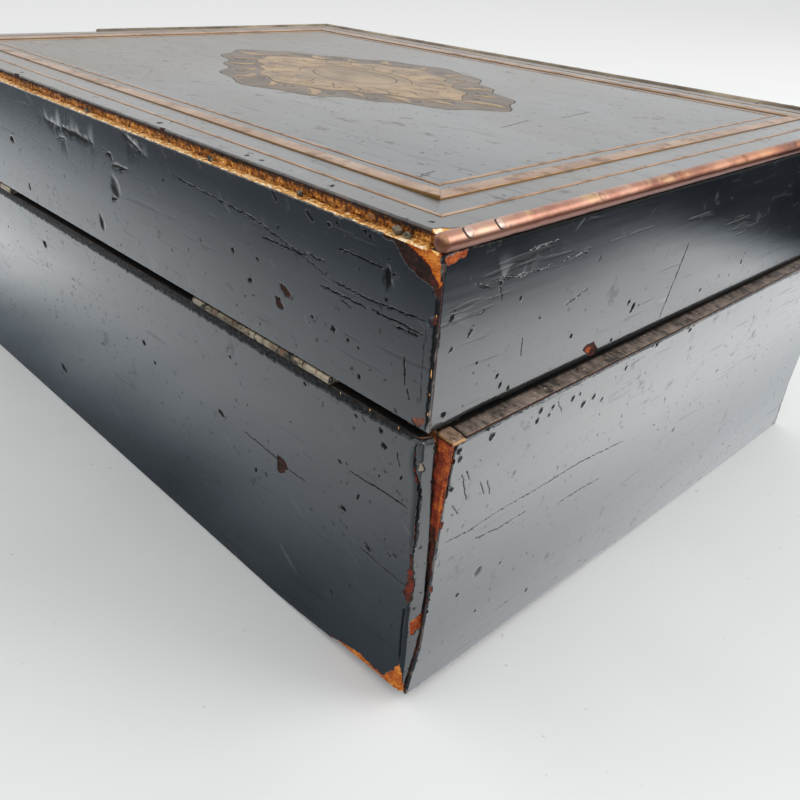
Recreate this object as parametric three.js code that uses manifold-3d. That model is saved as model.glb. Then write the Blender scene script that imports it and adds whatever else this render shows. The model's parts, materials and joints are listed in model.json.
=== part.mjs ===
// An antique hinged-lid box: ebonised veneer on a pine carcass, brass lines and a brass and
// wood ornament let into the lid, a brass bead round the lid's top edge, two long butt hinges
// at the back and a box lock at the front. Millimetres, +Z up. The origin is under the middle
// of the base, the front faces -Y and the hinges are at +Y.

import * as THREE from "three";
import { mergeVertices } from "three/addons/utils/BufferGeometryUtils.js";
import Module from "manifold-3d";

// The case
const LENGTH = 300;
const WIDTH = 220;
const BASE_HEIGHT = 79;
const BOX_HEIGHT = 122.3;
const SEAM_AT_BACK = 2.5;
const BOARD = 8;
const VENEER = 1;
const LAP = 3.7;
const LEAN_OUT = 3.9;
const BOTTOM_BOARD = 7;
const TOP_BOARD = 7;
const EDGE_CHAMFER = 0.5;
const LINING = 1.6;
const CLEARANCE = 0.3;
const OVERRUN = 1;

// The lid's top: insets are measured in from the lid's outer faces
const RABBET = 3;
const BEAD_RADIUS = 2;
const BEAD_BREAK = 81;
const LINE_WIDTH = 1;
const LINE_RAISED = 0.15;
const OUTER_LINE_INSET = 9.6;
const STRIP_INSET = 17.8;
const STRIP_WIDTH = 4.3;
const STRIP_RAISED = 0.4;
const INNER_LINE_INSET = 25.6;

// The ornament in the middle of the lid
const ORNAMENT_LENGTH = 150;
const ORNAMENT_WIDTH = 100;
const ORNAMENT_RAISED = 0.1;
const GLUE_LINE = 0.15;

// The hinges
const HINGE_FROM_END = 31;
const KNUCKLES = 6;
const KNUCKLE_LENGTH = 9.6;
const KNUCKLE_RADIUS = 1.2;
const PIN_RADIUS = 0.5;
const LEAF_THICKNESS = 1.1;
const LEAF_WIDTH = 7.4;
const SCREW_HEAD_RADIUS = 1.6;
const SCREW_RADIUS = 0.7;
const SCREW_LENGTH = 6;
const SCREW_FROM_END = 9;

// The lock and its link plate
const LOCK_LENGTH = 54;
const LOCK_CASE_LENGTH = 42;
const LOCK_DEPTH = 6.8;
const LOCK_PLATE = 0.8;
const LOCK_WING = 1.1;
const LOCK_TOP_PLATE = 1.5;
const LINK_PLATE = 1.2;
const STAPLE_SPACING = 24;
const STAPLE_THICKNESS = 2;
const STAPLE_LEG = 0.9;
const STAPLE_DROP = 9.8;
const STAPLE_PLAY = 0.4;
const TONGUE_HEIGHT = 2.2;
const TONGUE_THICKNESS = 2;
const BOLT_TRAVEL = 4;
const BOLT_POST = 2;
const BOLT_BAR = 4;
const BOLT_DROP = 22;
const KEY_DROP = 13;
const KEY_PIN_RADIUS = 0.8;
const KEYHOLE_RADIUS = 1.9;
const KEYHOLE_SLOT = 1.5;
const KEYHOLE_LENGTH = 5;
const ESCUTCHEON_LENGTH = 26;
const ESCUTCHEON_WIDTH = 16;
const ESCUTCHEON_THICKNESS = 0.6;

// How finely round things are cut
const ROUND_SIDES = 16;
const OUTLINE_STEPS = 96;

const halfLength = LENGTH / 2;
const halfWidth = WIDTH / 2;
const wall = BOARD + VENEER;
const innerLength = halfLength - wall;
const innerWidth = halfWidth - wall;
const lidBack = BASE_HEIGHT + SEAM_AT_BACK;
const lidFront = BASE_HEIGHT + LINK_PLATE;
const rabbetFloor = BOX_HEIGHT - RABBET;
const topBoardFace = BOX_HEIGHT - VENEER;
const hingeLength = KNUCKLES * KNUCKLE_LENGTH;
const hingeY = halfWidth - KNUCKLE_RADIUS;
const hingeZ = BASE_HEIGHT + SEAM_AT_BACK / 2;

const wasm = await Module();
wasm.setup();

const box = new THREE.Group();

const finish = (color, roughness, metalness) =>
  new THREE.MeshStandardMaterial({ color, roughness, metalness });
const blackVeneer = () => finish(0x0b0b0d, 0.25, 0);
const pine = () => finish(0xb8763a, 0.7, 0);
const brass = () => finish(0xb07a4a, 0.4, 1);
const paleBrass = () => finish(0xc9b07a, 0.4, 1);
const oldSteel = () => finish(0x6d6a66, 0.5, 1);
const tanWood = () => finish(0x8a6f4a, 0.45, 0);
const velvet = () => finish(0x5a1420, 0.95, 0);

function add(name, geometry, material) {
  const mesh = new THREE.Mesh(geometry, material);
  mesh.name = name;
  box.add(mesh);
  return mesh;
}

// A rectangular board between two opposite corners
function board([x0, y0, z0], [x1, y1, z1]) {
  const geometry = new THREE.BoxGeometry(x1 - x0, y1 - y0, z1 - z0);
  return geometry.translate((x0 + x1) / 2, (y0 + y1) / 2, (z0 + z1) / 2);
}

// A closed outline run from one place to another along X, Y or Z. Its points are pairs of the
// other two coordinates in alphabetical order.
function prism(axis, outline, from, to, holes = []) {
  const flat = (points) =>
    points.map(([a, b]) => (axis === "y" ? new THREE.Vector2(b, a) : new THREE.Vector2(a, b)));
  const shape = new THREE.Shape(flat(outline));
  shape.holes = holes.map((hole) => new THREE.Path(flat(hole)));
  const geometry = new THREE.ExtrudeGeometry(shape, { depth: to - from, bevelEnabled: false });
  const turned = {
    x: [new THREE.Vector3(0, 1, 0), new THREE.Vector3(0, 0, 1), new THREE.Vector3(1, 0, 0)],
    y: [new THREE.Vector3(0, 0, 1), new THREE.Vector3(1, 0, 0), new THREE.Vector3(0, 1, 0)],
    z: [new THREE.Vector3(1, 0, 0), new THREE.Vector3(0, 1, 0), new THREE.Vector3(0, 0, 1)],
  }[axis];
  const place = turned[2].clone().multiplyScalar(from);
  return geometry.applyMatrix4(new THREE.Matrix4().makeBasis(...turned).setPosition(place));
}

const rectangle = (halfX, halfY) => [[-halfX, -halfY], [halfX, -halfY], [halfX, halfY], [-halfX, halfY]];

// A round outline whose flats, not its corners, face along the axes
function circle([a, b], radius, sides = ROUND_SIDES) {
  const step = (2 * Math.PI) / sides;
  return Array.from({ length: sides }, (_, i) => {
    const angle = (i + 1 / 2) * step;
    return [a + radius * Math.cos(angle), b + radius * Math.sin(angle)];
  });
}

function solid(geometry) {
  const bare = geometry.clone();
  bare.deleteAttribute("normal");
  bare.deleteAttribute("uv");
  const merged = mergeVertices(bare);
  const vertProperties = merged.attributes.position.array;
  const triVerts = new Uint32Array(merged.index.array);
  return new wasm.Manifold(new wasm.Mesh({ numProp: 3, vertProperties, triVerts }));
}

function surface(made) {
  const mesh = made.getMesh();
  const geometry = new THREE.BufferGeometry();
  geometry.setAttribute("position", new THREE.BufferAttribute(mesh.vertProperties, mesh.numProp));
  geometry.setIndex(new THREE.BufferAttribute(mesh.triVerts, 1));
  geometry.computeVertexNormals();
  return geometry;
}

const join = (first, ...others) =>
  surface(others.reduce((sum, next) => sum.add(solid(next)), solid(first)));
const cut = (first, ...tools) =>
  surface(tools.reduce((rest, tool) => rest.subtract(solid(tool)), solid(first)));

// A countersunk wood screw with its head's face at the point given, driven along a direction
function screwShape(at, direction, grow = 0) {
  const head = SCREW_HEAD_RADIUS + grow;
  const shank = SCREW_RADIUS + grow;
  const cone = LEAF_THICKNESS;
  const tip = SCREW_LENGTH + grow;
  const profile = [[0, 0], [head, 0], [shank, -cone], [shank, -tip], [0, -tip]];
  const points = profile.map(([radius, depth]) => new THREE.Vector2(radius, depth)).reverse();
  const geometry = new THREE.LatheGeometry(points, ROUND_SIDES);
  const down = new THREE.Vector3(0, -1, 0);
  const turn = new THREE.Quaternion().setFromUnitVectors(down, direction);
  return geometry.applyQuaternion(turn).translate(at.x, at.y, at.z);
}

const UP = new THREE.Vector3(0, 0, 1);
const DOWN = new THREE.Vector3(0, 0, -1);
const FORWARD = new THREE.Vector3(0, -1, 0);

// The two hinges' places along the back, and the screws that each leaf takes
const hinges = [
  { side: "left", start: -halfLength + HINGE_FROM_END },
  { side: "right", start: halfLength - HINGE_FROM_END - hingeLength },
];
const screwY = hingeY - LEAF_WIDTH / 2 - KNUCKLE_RADIUS / 2;
const baseLeafFace = BASE_HEIGHT + LEAF_THICKNESS;
const lidLeafFace = lidBack - LEAF_THICKNESS;

function leafScrews(start, faceZ, direction) {
  const places = [start + SCREW_FROM_END, start + hingeLength - SCREW_FROM_END];
  return places.map((x) => ({ at: new THREE.Vector3(x, screwY, faceZ), direction }));
}

// One leaf: a plate lying on the edge of the wood, and every second knuckle of the barrel
function hingeLeaf(start, plateZ, firstKnuckle, screws) {
  const clear = hingeY - KNUCKLE_RADIUS - CLEARANCE;
  const [low, high] = [plateZ, plateZ + LEAF_THICKNESS];
  const pieces = [board([start, hingeY - LEAF_WIDTH, low], [start + hingeLength, clear, high])];
  for (let k = firstKnuckle; k < KNUCKLES; k += 2) {
    const from = start + k * KNUCKLE_LENGTH + CLEARANCE / 2;
    const to = start + (k + 1) * KNUCKLE_LENGTH - CLEARANCE / 2;
    pieces.push(board([from, clear - LEAF_THICKNESS, low], [to, hingeY, high]));
    pieces.push(prism("x", circle([hingeY, hingeZ], KNUCKLE_RADIUS), from, to));
  }
  const reach = hingeLength + CLEARANCE;
  const bore = circle([hingeY, hingeZ], PIN_RADIUS + CLEARANCE / 2);
  const holes = screws.map(({ at, direction }) => screwShape(at, direction, CLEARANCE / 2));
  return cut(join(...pieces), prism("x", bore, start - CLEARANCE, start + reach), ...holes);
}

for (const hinge of hinges) {
  hinge.baseScrews = leafScrews(hinge.start, baseLeafFace, DOWN);
  hinge.lidScrews = leafScrews(hinge.start, lidLeafFace, UP);
  const { side, start, baseScrews, lidScrews } = hinge;
  add(`hinge_${side}_base_leaf`, hingeLeaf(start, BASE_HEIGHT, 0, baseScrews), paleBrass());
  add(`hinge_${side}_lid_leaf`, hingeLeaf(start, lidLeafFace, 1, lidScrews), paleBrass());
  const pin = prism("x", circle([hingeY, hingeZ], PIN_RADIUS), start, start + hingeLength);
  add(`hinge_${side}_pin`, pin, oldSteel());
  baseScrews.forEach(({ at, direction }, i) => {
    add(`hinge_${side}_base_screw_${i + 1}`, screwShape(at, direction), paleBrass());
  });
  lidScrews.forEach(({ at, direction }, i) => {
    add(`hinge_${side}_lid_screw_${i + 1}`, screwShape(at, direction), paleBrass());
  });
}
const screwHoles = (key) => hinges.flatMap((hinge) =>
  hinge[key].map(({ at, direction }) => screwShape(at, direction, CLEARANCE)));

// The lock's places: its depth is measured in from the front wall's inner face
const lockInside = -innerWidth;
const lockFront = lockInside - LOCK_DEPTH;
const boltY = (lockInside + lockFront) / 2;
const boltBottom = BASE_HEIGHT - BOLT_DROP;
const lockBottom = boltBottom - CLEARANCE - LOCK_PLATE;
const tongueTop = BASE_HEIGHT - STAPLE_DROP + STAPLE_LEG + CLEARANCE + TONGUE_HEIGHT;
const wingX = (LOCK_LENGTH + LOCK_CASE_LENGTH) / 4;
const keyZ = BASE_HEIGHT - KEY_DROP;
const stapleFaces = [-1, 1].map((side) => (side * STAPLE_SPACING) / 2 - STAPLE_THICKNESS / 2);
const cavityHalf = LOCK_CASE_LENGTH / 2 - LOCK_PLATE;

// The keyhole is a round hole with a slot below it
function keyhole(from, to) {
  const slotHalf = KEYHOLE_SLOT / 2;
  const slot = board([-slotHalf, from, keyZ - KEYHOLE_LENGTH], [slotHalf, to, keyZ]);
  return join(prism("y", circle([0, keyZ], KEYHOLE_RADIUS), from, to), slot);
}

const lockScrews = [-1, 1].map((side) => (
  { at: new THREE.Vector3(side * wingX, lockInside, keyZ), direction: FORWARD }));

function lockCase() {
  const half = LOCK_LENGTH / 2;
  const caseHalf = cavityHalf + LOCK_PLATE;
  const top = BASE_HEIGHT;
  const body = board([-caseHalf, lockFront, lockBottom], [caseHalf, lockInside, top]);
  const backPlate = board([-half, lockInside - LOCK_WING, lockBottom], [half, lockInside, top]);
  const topPlate = board([-half, lockFront, top - LOCK_TOP_PLATE], [half, lockInside, top]);
  const roomFront = lockFront + LOCK_PLATE;
  const roomBack = lockInside - LOCK_PLATE;
  const room = board([-cavityHalf, roomFront, lockBottom + LOCK_PLATE],
    [cavityHalf, roomBack, top - LOCK_TOP_PLATE]);
  const slots = stapleFaces.map((x) => board([x - STAPLE_PLAY, roomFront, top - LOCK_TOP_PLATE - OVERRUN],
    [x + STAPLE_THICKNESS + STAPLE_PLAY, roomBack, top + OVERRUN]));
  const keyPin = prism("y", circle([0, keyZ], KEY_PIN_RADIUS), roomFront, roomBack + LOCK_PLATE / 2);
  const holes = lockScrews.map(({ at, direction }) => screwShape(at, direction, CLEARANCE / 2));
  const entry = keyhole(lockFront - OVERRUN, roomFront + LOCK_PLATE / 2);
  const hollow = cut(join(body, backPlate, topPlate), room, ...slots, entry, ...holes);
  return join(hollow, keyPin);
}

function lockBolt() {
  const [front, back] = [boltY - TONGUE_THICKNESS / 2, boltY + TONGUE_THICKNESS / 2];
  const tips = stapleFaces.map((x) => x - STAPLE_PLAY);
  const post = (tip) => tip - BOLT_TRAVEL - BOLT_POST;
  const bar = board([post(tips[0]), front, boltBottom],
    [tips[1] - BOLT_TRAVEL, back, boltBottom + BOLT_BAR]);
  const posts = tips.map((tip) =>
    board([post(tip), front, boltBottom], [tip - BOLT_TRAVEL, back, tongueTop]));
  const tongues = tips.map((tip) =>
    board([post(tip), front, tongueTop - TONGUE_HEIGHT], [tip, back, tongueTop]));
  return join(bar, ...posts, ...tongues);
}

// One of the two spikes that hold the link plate in the lid, or the hole for one
const spike = (x, from, grow) => board(
  [x - SCREW_RADIUS - grow, boltY - SCREW_RADIUS - grow, from],
  [x + SCREW_RADIUS + grow, boltY + SCREW_RADIUS + grow, lidFront + SCREW_LENGTH + grow]);

function linkPlate() {
  const half = LOCK_LENGTH / 2;
  const plate = board([-half, lockFront, BASE_HEIGHT], [half, lockInside, lidFront]);
  const windowHalf = TONGUE_THICKNESS / 2 + CLEARANCE;
  const stapleHalf = windowHalf + STAPLE_LEG;
  const bottom = BASE_HEIGHT - STAPLE_DROP;
  const staples = stapleFaces.map((x) => board([x, boltY - stapleHalf, bottom],
    [x + STAPLE_THICKNESS, boltY + stapleHalf, BASE_HEIGHT + LINK_PLATE / 2]));
  const windows = stapleFaces.map((x) => board(
    [x - CLEARANCE, boltY - windowHalf, bottom + STAPLE_LEG],
    [x + STAPLE_THICKNESS + CLEARANCE, boltY + windowHalf, tongueTop + CLEARANCE]));
  const spikes = [-wingX, wingX].map((x) => spike(x, BASE_HEIGHT + LINK_PLATE / 2, 0));
  return cut(join(plate, ...staples, ...spikes), ...windows);
}

add("lock_case", lockCase(), brass());
add("lock_bolt", lockBolt(), oldSteel());
add("link_plate", linkPlate(), brass());
lockScrews.forEach(({ at, direction }, i) => add(`lock_screw_${i + 1}`, screwShape(at, direction), brass()));

// The base: four boards with lapped corners, each faced with veneer, round a bottom board
const lapLine = halfWidth - LAP;
const boardFace = halfWidth - VENEER;

function lappedBoard(side) {
  const outline = [
    [-halfLength, side * lapLine], [-innerLength, side * lapLine],
    [-innerLength, side * innerWidth], [innerLength, side * innerWidth],
    [innerLength, side * lapLine], [halfLength, side * lapLine],
    [halfLength, side * boardFace], [-halfLength, side * boardFace],
  ];
  return prism("z", outline, 0, BASE_HEIGHT);
}

// A length of face veneer whose outer edge at the seam is chamfered
function faceVeneer(side, seamZ, farZ) {
  const toward = Math.sign(farZ - seamZ) * EDGE_CHAMFER;
  const outline = [
    [side * boardFace, seamZ], [side * (halfWidth - EDGE_CHAMFER), seamZ],
    [side * halfWidth, seamZ + toward], [side * halfWidth, farZ], [side * boardFace, farZ],
  ];
  return prism("x", outline, -halfLength, halfLength);
}

// The lock's mortise opens at the wall's top and inside, so its cuts run on past both by OVERRUN
const mortiseCut = (half, front, bottom) => board([-half, front, bottom],
  [half, lockInside + OVERRUN, BASE_HEIGHT + OVERRUN]);
const mortise = [
  mortiseCut(LOCK_CASE_LENGTH / 2, lockFront, lockBottom),
  mortiseCut(LOCK_LENGTH / 2, lockInside - LOCK_WING, lockBottom),
  mortiseCut(LOCK_LENGTH / 2, lockFront, BASE_HEIGHT - LOCK_TOP_PLATE),
];
const lockScrewHoles = lockScrews.map(({ at, direction }) => screwShape(at, direction, CLEARANCE));
const keyWay = () => keyhole(-halfWidth - OVERRUN, lockFront + OVERRUN);

add("base_bottom", board([-innerLength, -innerWidth, 0], [innerLength, innerWidth, BOTTOM_BOARD]), pine());
add("base_back_wall", cut(lappedBoard(1), ...screwHoles("baseScrews")), pine());
add("base_front_wall", cut(lappedBoard(-1), ...mortise, ...lockScrewHoles, keyWay()), pine());
add("base_back_veneer", faceVeneer(1, BASE_HEIGHT, 0), blackVeneer());
add("base_front_veneer", cut(faceVeneer(-1, BASE_HEIGHT, 0), keyWay()), blackVeneer());

// The left end board has sprung out of its laps: it still stands on its lower arris and leans
// out at the rim, with its veneer. Places on it are a height up the board and a depth into it.
const lean = Math.asin(LEAN_OUT / BASE_HEIGHT);
const onLeaningBoard = (up, inward) => [
  -halfLength - up * Math.sin(lean) + inward * Math.cos(lean),
  up * Math.cos(lean) + inward * Math.sin(lean),
];
const leaningOutline = (outer, inner) => [
  onLeaningBoard(0, outer), onLeaningBoard(0, inner),
  onLeaningBoard(BASE_HEIGHT, inner), onLeaningBoard(BASE_HEIGHT, outer),
];
add("base_left_wall", prism("y", leaningOutline(VENEER, wall), -lapLine, lapLine), pine());
add("base_left_veneer", prism("y", leaningOutline(0, VENEER), -lapLine, lapLine), blackVeneer());
add("base_right_wall", board([innerLength, -lapLine, 0], [halfLength - VENEER, lapLine, BASE_HEIGHT]),
  pine());
add("base_right_veneer", board([halfLength - VENEER, -lapLine, 0], [halfLength, lapLine, BASE_HEIGHT]),
  blackVeneer());

// A lining of cloth on card fills the inside from wall to wall
const liningX = innerLength - CLEARANCE;
const liningY = innerWidth - CLEARANCE;
const lining = (bottom) => board([-liningX, -liningY, bottom], [liningX, liningY, bottom + LINING]);
add("base_lining", lining(BOTTOM_BOARD), velvet());

// The lid: its side boards' lower edges fall a little from the hinges to the front
const seamAt = (y) => lidFront + ((lidBack - lidFront) * (y + halfWidth)) / WIDTH;
const lidSideOutline = (y) => [[-y, seamAt(-y)], [y, seamAt(y)], [y, rabbetFloor], [-y, rabbetFloor]];
const lidBoardEnd = halfLength - VENEER;

const spikeHoles = [-wingX, wingX].map((x) => spike(x, lidFront - OVERRUN, CLEARANCE));
const lidBackBoard = board([-lidBoardEnd, innerWidth, lidBack], [lidBoardEnd, boardFace, rabbetFloor]);
const lidFrontBoard = board([-lidBoardEnd, -boardFace, lidFront], [lidBoardEnd, -innerWidth, rabbetFloor]);
add("lid_back_wall", cut(lidBackBoard, ...screwHoles("lidScrews")), pine());
add("lid_front_wall", cut(lidFrontBoard, ...spikeHoles), pine());
add("lid_back_veneer", faceVeneer(1, lidBack, rabbetFloor), blackVeneer());
add("lid_front_veneer", faceVeneer(-1, lidFront, rabbetFloor), blackVeneer());
add("lid_left_wall", prism("x", lidSideOutline(innerWidth), -lidBoardEnd, -innerLength), pine());
add("lid_right_wall", prism("x", lidSideOutline(innerWidth), innerLength, lidBoardEnd), pine());
add("lid_left_veneer", prism("x", lidSideOutline(boardFace), -halfLength, -lidBoardEnd), blackVeneer());
add("lid_right_veneer", prism("x", lidSideOutline(boardFace), lidBoardEnd, halfLength), blackVeneer());

// The lid's top board drops between the walls and laps over them, short of the rabbet
const topUnderside = topBoardFace - TOP_BOARD;
const topBoard = join(
  board([-innerLength, -innerWidth, topUnderside], [innerLength, innerWidth, rabbetFloor]),
  board([-halfLength + RABBET, -halfWidth + RABBET, rabbetFloor],
    [halfLength - RABBET, halfWidth - RABBET, topBoardFace]),
);
add("lid_top_board", topBoard, pine());
add("lid_lining", lining(topUnderside - LINING), velvet());

// A band of the top's veneer between two insets, as one frame or as four mitred sides
const insetRectangle = (inset) => rectangle(halfLength - inset, halfWidth - inset);
const band = (outer, inner) =>
  prism("z", insetRectangle(outer), topBoardFace, BOX_HEIGHT, [insetRectangle(inner)]);

function mitredSides(name, outer, width, raised, material) {
  const corners = insetRectangle(outer);
  const inner = insetRectangle(outer + width);
  ["front", "right", "back", "left"].forEach((side, i) => {
    const next = (i + 1) % corners.length;
    const outline = [corners[i], corners[next], inner[next], inner[i]];
    add(`${name}_${side}`, prism("z", outline, topBoardFace, BOX_HEIGHT + raised), material());
  });
}

add("top_outer_band", band(RABBET, OUTER_LINE_INSET), blackVeneer());
mitredSides("outer_line", OUTER_LINE_INSET, LINE_WIDTH, LINE_RAISED, brass);
add("top_middle_band", band(OUTER_LINE_INSET + LINE_WIDTH, STRIP_INSET), blackVeneer());
mitredSides("brass_strip", STRIP_INSET, STRIP_WIDTH, STRIP_RAISED, brass);
add("top_inner_band", band(STRIP_INSET + STRIP_WIDTH, INNER_LINE_INSET), blackVeneer());
const innerLine = prism("z", insetRectangle(INNER_LINE_INSET), topBoardFace, BOX_HEIGHT + LINE_RAISED,
  [insetRectangle(INNER_LINE_INSET + LINE_WIDTH)]);
add("inner_line", innerLine, brass());

// The ornament: a lobed panel of tan wood with a smaller lobed brass ring let into it, and an
// oval of wood in the ring. The lobes swell and draw in by shares of the ornament's size.
const LOBE_SHARE = 0.1;
const SCALLOP_SHARE = 0.03;
const RING_SHARE = 0.72;
const OVAL_SHARE = 0.34;

function lobedOutline(share, shrink = 0) {
  const halfX = (ORNAMENT_LENGTH * share) / 2 - shrink;
  const halfY = (ORNAMENT_WIDTH * share) / 2 - shrink;
  const fullest = 1 + LOBE_SHARE + SCALLOP_SHARE;
  return Array.from({ length: OUTLINE_STEPS }, (_, i) => {
    const angle = (2 * Math.PI * i) / OUTLINE_STEPS;
    const swell = 1 + LOBE_SHARE * Math.cos(4 * angle) + SCALLOP_SHARE * Math.cos(16 * angle);
    return [(halfX * swell * Math.cos(angle)) / fullest, (halfY * swell * Math.sin(angle)) / fullest];
  });
}

function ovalOutline(share, shrink = 0) {
  const halfX = (ORNAMENT_LENGTH * share) / 2 - shrink;
  const halfY = (ORNAMENT_WIDTH * share) / 2 - shrink;
  return Array.from({ length: OUTLINE_STEPS / 2 }, (_, i) => {
    const angle = (4 * Math.PI * i) / OUTLINE_STEPS;
    return [halfX * Math.cos(angle), halfY * Math.sin(angle)];
  });
}

const ornamentTop = BOX_HEIGHT + ORNAMENT_RAISED;
add("top_center_panel", prism("z", insetRectangle(INNER_LINE_INSET + LINE_WIDTH), topBoardFace, BOX_HEIGHT,
  [lobedOutline(1)]), blackVeneer());
add("ornament_ground", prism("z", lobedOutline(1, GLUE_LINE), topBoardFace, BOX_HEIGHT,
  [lobedOutline(RING_SHARE)]), tanWood());
add("ornament_ring", prism("z", lobedOutline(RING_SHARE, GLUE_LINE), topBoardFace, ornamentTop,
  [ovalOutline(OVAL_SHARE)]), brass());
add("ornament_oval", prism("z", ovalOutline(OVAL_SHARE, GLUE_LINE), topBoardFace, BOX_HEIGHT), tanWood());

// The bead: round brass rod lying in the rabbet, mitred at the two front corners. The back one
// is lost, and the right one is broken off part of the way from the back.
const beadInset = RABBET - BEAD_RADIUS;
const beadZ = rabbetFloor + BEAD_RADIUS;

function sideBead(side, backEnd) {
  const x = side * (halfLength - beadInset);
  const frontEnd = -halfWidth + beadInset;
  const geometry = prism("y", circle([x, beadZ], BEAD_RADIUS), frontEnd, backEnd);
  return mitre(geometry, (point) => {
    if (point.y < 0) point.y -= side * (point.x - x) - CLEARANCE / 2;
  });
}

function frontBead() {
  const y = -halfWidth + beadInset;
  const end = halfLength - beadInset;
  const geometry = prism("x", circle([y, beadZ], BEAD_RADIUS), -end, end);
  return mitre(geometry, (point) => {
    point.x -= Math.sign(point.x) * (point.y - y + CLEARANCE / 2);
  });
}

// Slides the end points of a rod along it until they lie on the slanted cut
function mitre(geometry, slide) {
  const places = geometry.attributes.position;
  const point = new THREE.Vector3();
  for (let i = 0; i < places.count; i += 1) {
    point.fromBufferAttribute(places, i);
    slide(point);
    places.setXYZ(i, point.x, point.y, point.z);
  }
  return geometry;
}

add("bead_front", frontBead(), brass());
add("bead_left", sideBead(-1, halfWidth), brass());
add("bead_right", sideBead(1, halfWidth - BEAD_BREAK), brass());

// The keyhole's brass plate on the front
function escutcheon() {
  const outline = Array.from({ length: OUTLINE_STEPS / 2 }, (_, i) => {
    const angle = (4 * Math.PI * i) / OUTLINE_STEPS;
    return [(ESCUTCHEON_WIDTH / 2) * Math.cos(angle), keyZ + (ESCUTCHEON_LENGTH / 2) * Math.sin(angle)];
  });
  const plate = prism("y", outline, -halfWidth - ESCUTCHEON_THICKNESS, -halfWidth);
  return cut(plate, keyWay());
}
add("escutcheon", escutcheon(), brass());

export default box;
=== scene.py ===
import json
import math
import random

import bmesh
import bpy
import numpy as np
from mathutils import Euler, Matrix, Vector, noise
from mathutils.geometry import delaunay_2d_cdt

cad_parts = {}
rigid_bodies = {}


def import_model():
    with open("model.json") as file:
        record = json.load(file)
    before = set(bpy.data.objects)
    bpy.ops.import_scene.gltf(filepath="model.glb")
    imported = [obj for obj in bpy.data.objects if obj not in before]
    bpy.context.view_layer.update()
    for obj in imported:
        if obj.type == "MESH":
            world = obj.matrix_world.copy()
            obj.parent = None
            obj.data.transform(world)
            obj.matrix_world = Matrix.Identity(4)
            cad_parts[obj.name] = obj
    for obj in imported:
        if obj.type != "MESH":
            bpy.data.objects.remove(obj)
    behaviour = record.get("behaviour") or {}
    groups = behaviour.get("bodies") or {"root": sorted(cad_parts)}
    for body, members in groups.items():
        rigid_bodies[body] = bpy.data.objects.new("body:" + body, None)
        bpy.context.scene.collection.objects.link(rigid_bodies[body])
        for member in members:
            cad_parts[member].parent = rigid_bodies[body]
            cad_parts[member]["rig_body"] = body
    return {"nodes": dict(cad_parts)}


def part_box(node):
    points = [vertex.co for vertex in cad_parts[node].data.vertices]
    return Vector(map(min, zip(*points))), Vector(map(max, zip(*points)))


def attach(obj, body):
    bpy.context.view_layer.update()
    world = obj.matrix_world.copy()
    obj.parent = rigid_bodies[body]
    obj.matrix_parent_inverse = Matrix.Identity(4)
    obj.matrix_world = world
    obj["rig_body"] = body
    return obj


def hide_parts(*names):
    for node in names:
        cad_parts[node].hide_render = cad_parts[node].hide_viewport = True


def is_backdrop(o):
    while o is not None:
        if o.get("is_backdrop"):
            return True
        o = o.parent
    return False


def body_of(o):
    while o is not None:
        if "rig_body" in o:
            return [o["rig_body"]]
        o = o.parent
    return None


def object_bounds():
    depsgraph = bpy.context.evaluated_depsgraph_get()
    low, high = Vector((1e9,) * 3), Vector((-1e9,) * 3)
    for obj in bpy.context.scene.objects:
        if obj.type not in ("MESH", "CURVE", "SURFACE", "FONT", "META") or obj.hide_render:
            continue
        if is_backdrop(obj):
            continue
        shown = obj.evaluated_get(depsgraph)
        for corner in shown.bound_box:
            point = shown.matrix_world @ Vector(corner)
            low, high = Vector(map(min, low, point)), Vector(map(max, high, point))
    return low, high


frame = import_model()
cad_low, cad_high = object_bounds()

# The camera is held close to the box, above its back left corner, as a phone would be. Its place
# and lens come from lining up the box's edges with the photograph. Lengths are in millimetres.
MM = 0.001
PHOTO = 800
FOCAL_PIXELS = 803.3
SENSOR = 36
CAMERA_PLACE = Vector((-241.53, 212.48, 168.01))
CAMERA_TURN = Euler([math.radians(a) for a in (60.09, -3.402, -133.894)])

lens = bpy.data.cameras.new("camera")
lens.sensor_width = SENSOR
lens.lens = FOCAL_PIXELS / PHOTO * SENSOR
lens.clip_start = MM
camera = bpy.data.objects.new("camera", lens)
camera.location = CAMERA_PLACE * MM
camera.rotation_euler = CAMERA_TURN
bpy.context.scene.collection.objects.link(camera)
bpy.context.scene.camera = camera
bpy.context.scene.view_settings.view_transform = "Standard"


def seen_on(pixel, point, normal):
    """The place on a plane that the photograph shows at a pixel."""
    across, down = ((value - PHOTO / 2) / FOCAL_PIXELS for value in pixel)
    ray = CAMERA_TURN.to_matrix() @ Vector((across, -down, -1))
    distance = (point - CAMERA_PLACE).dot(normal) / ray.dot(normal)
    return CAMERA_PLACE + ray * distance


# The box stands on a wide pale table top in an even light, with a soft window beyond its front left corner.
# What its polish mirrors is painted on a glowing card laid on the table, which only reflections see: painted
# reflections of the table lit by the window on the left, its shade at the foot of the back, and the dark
# room.
FLOOR_HALF = 9
WINDOW_SIZE = 1.6
WINDOW_PLACE = (-1.5, -1.3, 1.3)
WINDOW_POWER = 22
CARD_HALF = 2.5
CARD_LIFT = 0.0005
CARD_GLOW = 2.1
ROOM_COLOR = (0.97, 0.985, 1, 1)
BOX_LEFT = -0.15
BOX_BACK = 0.11
DULL = 0.18


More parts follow.
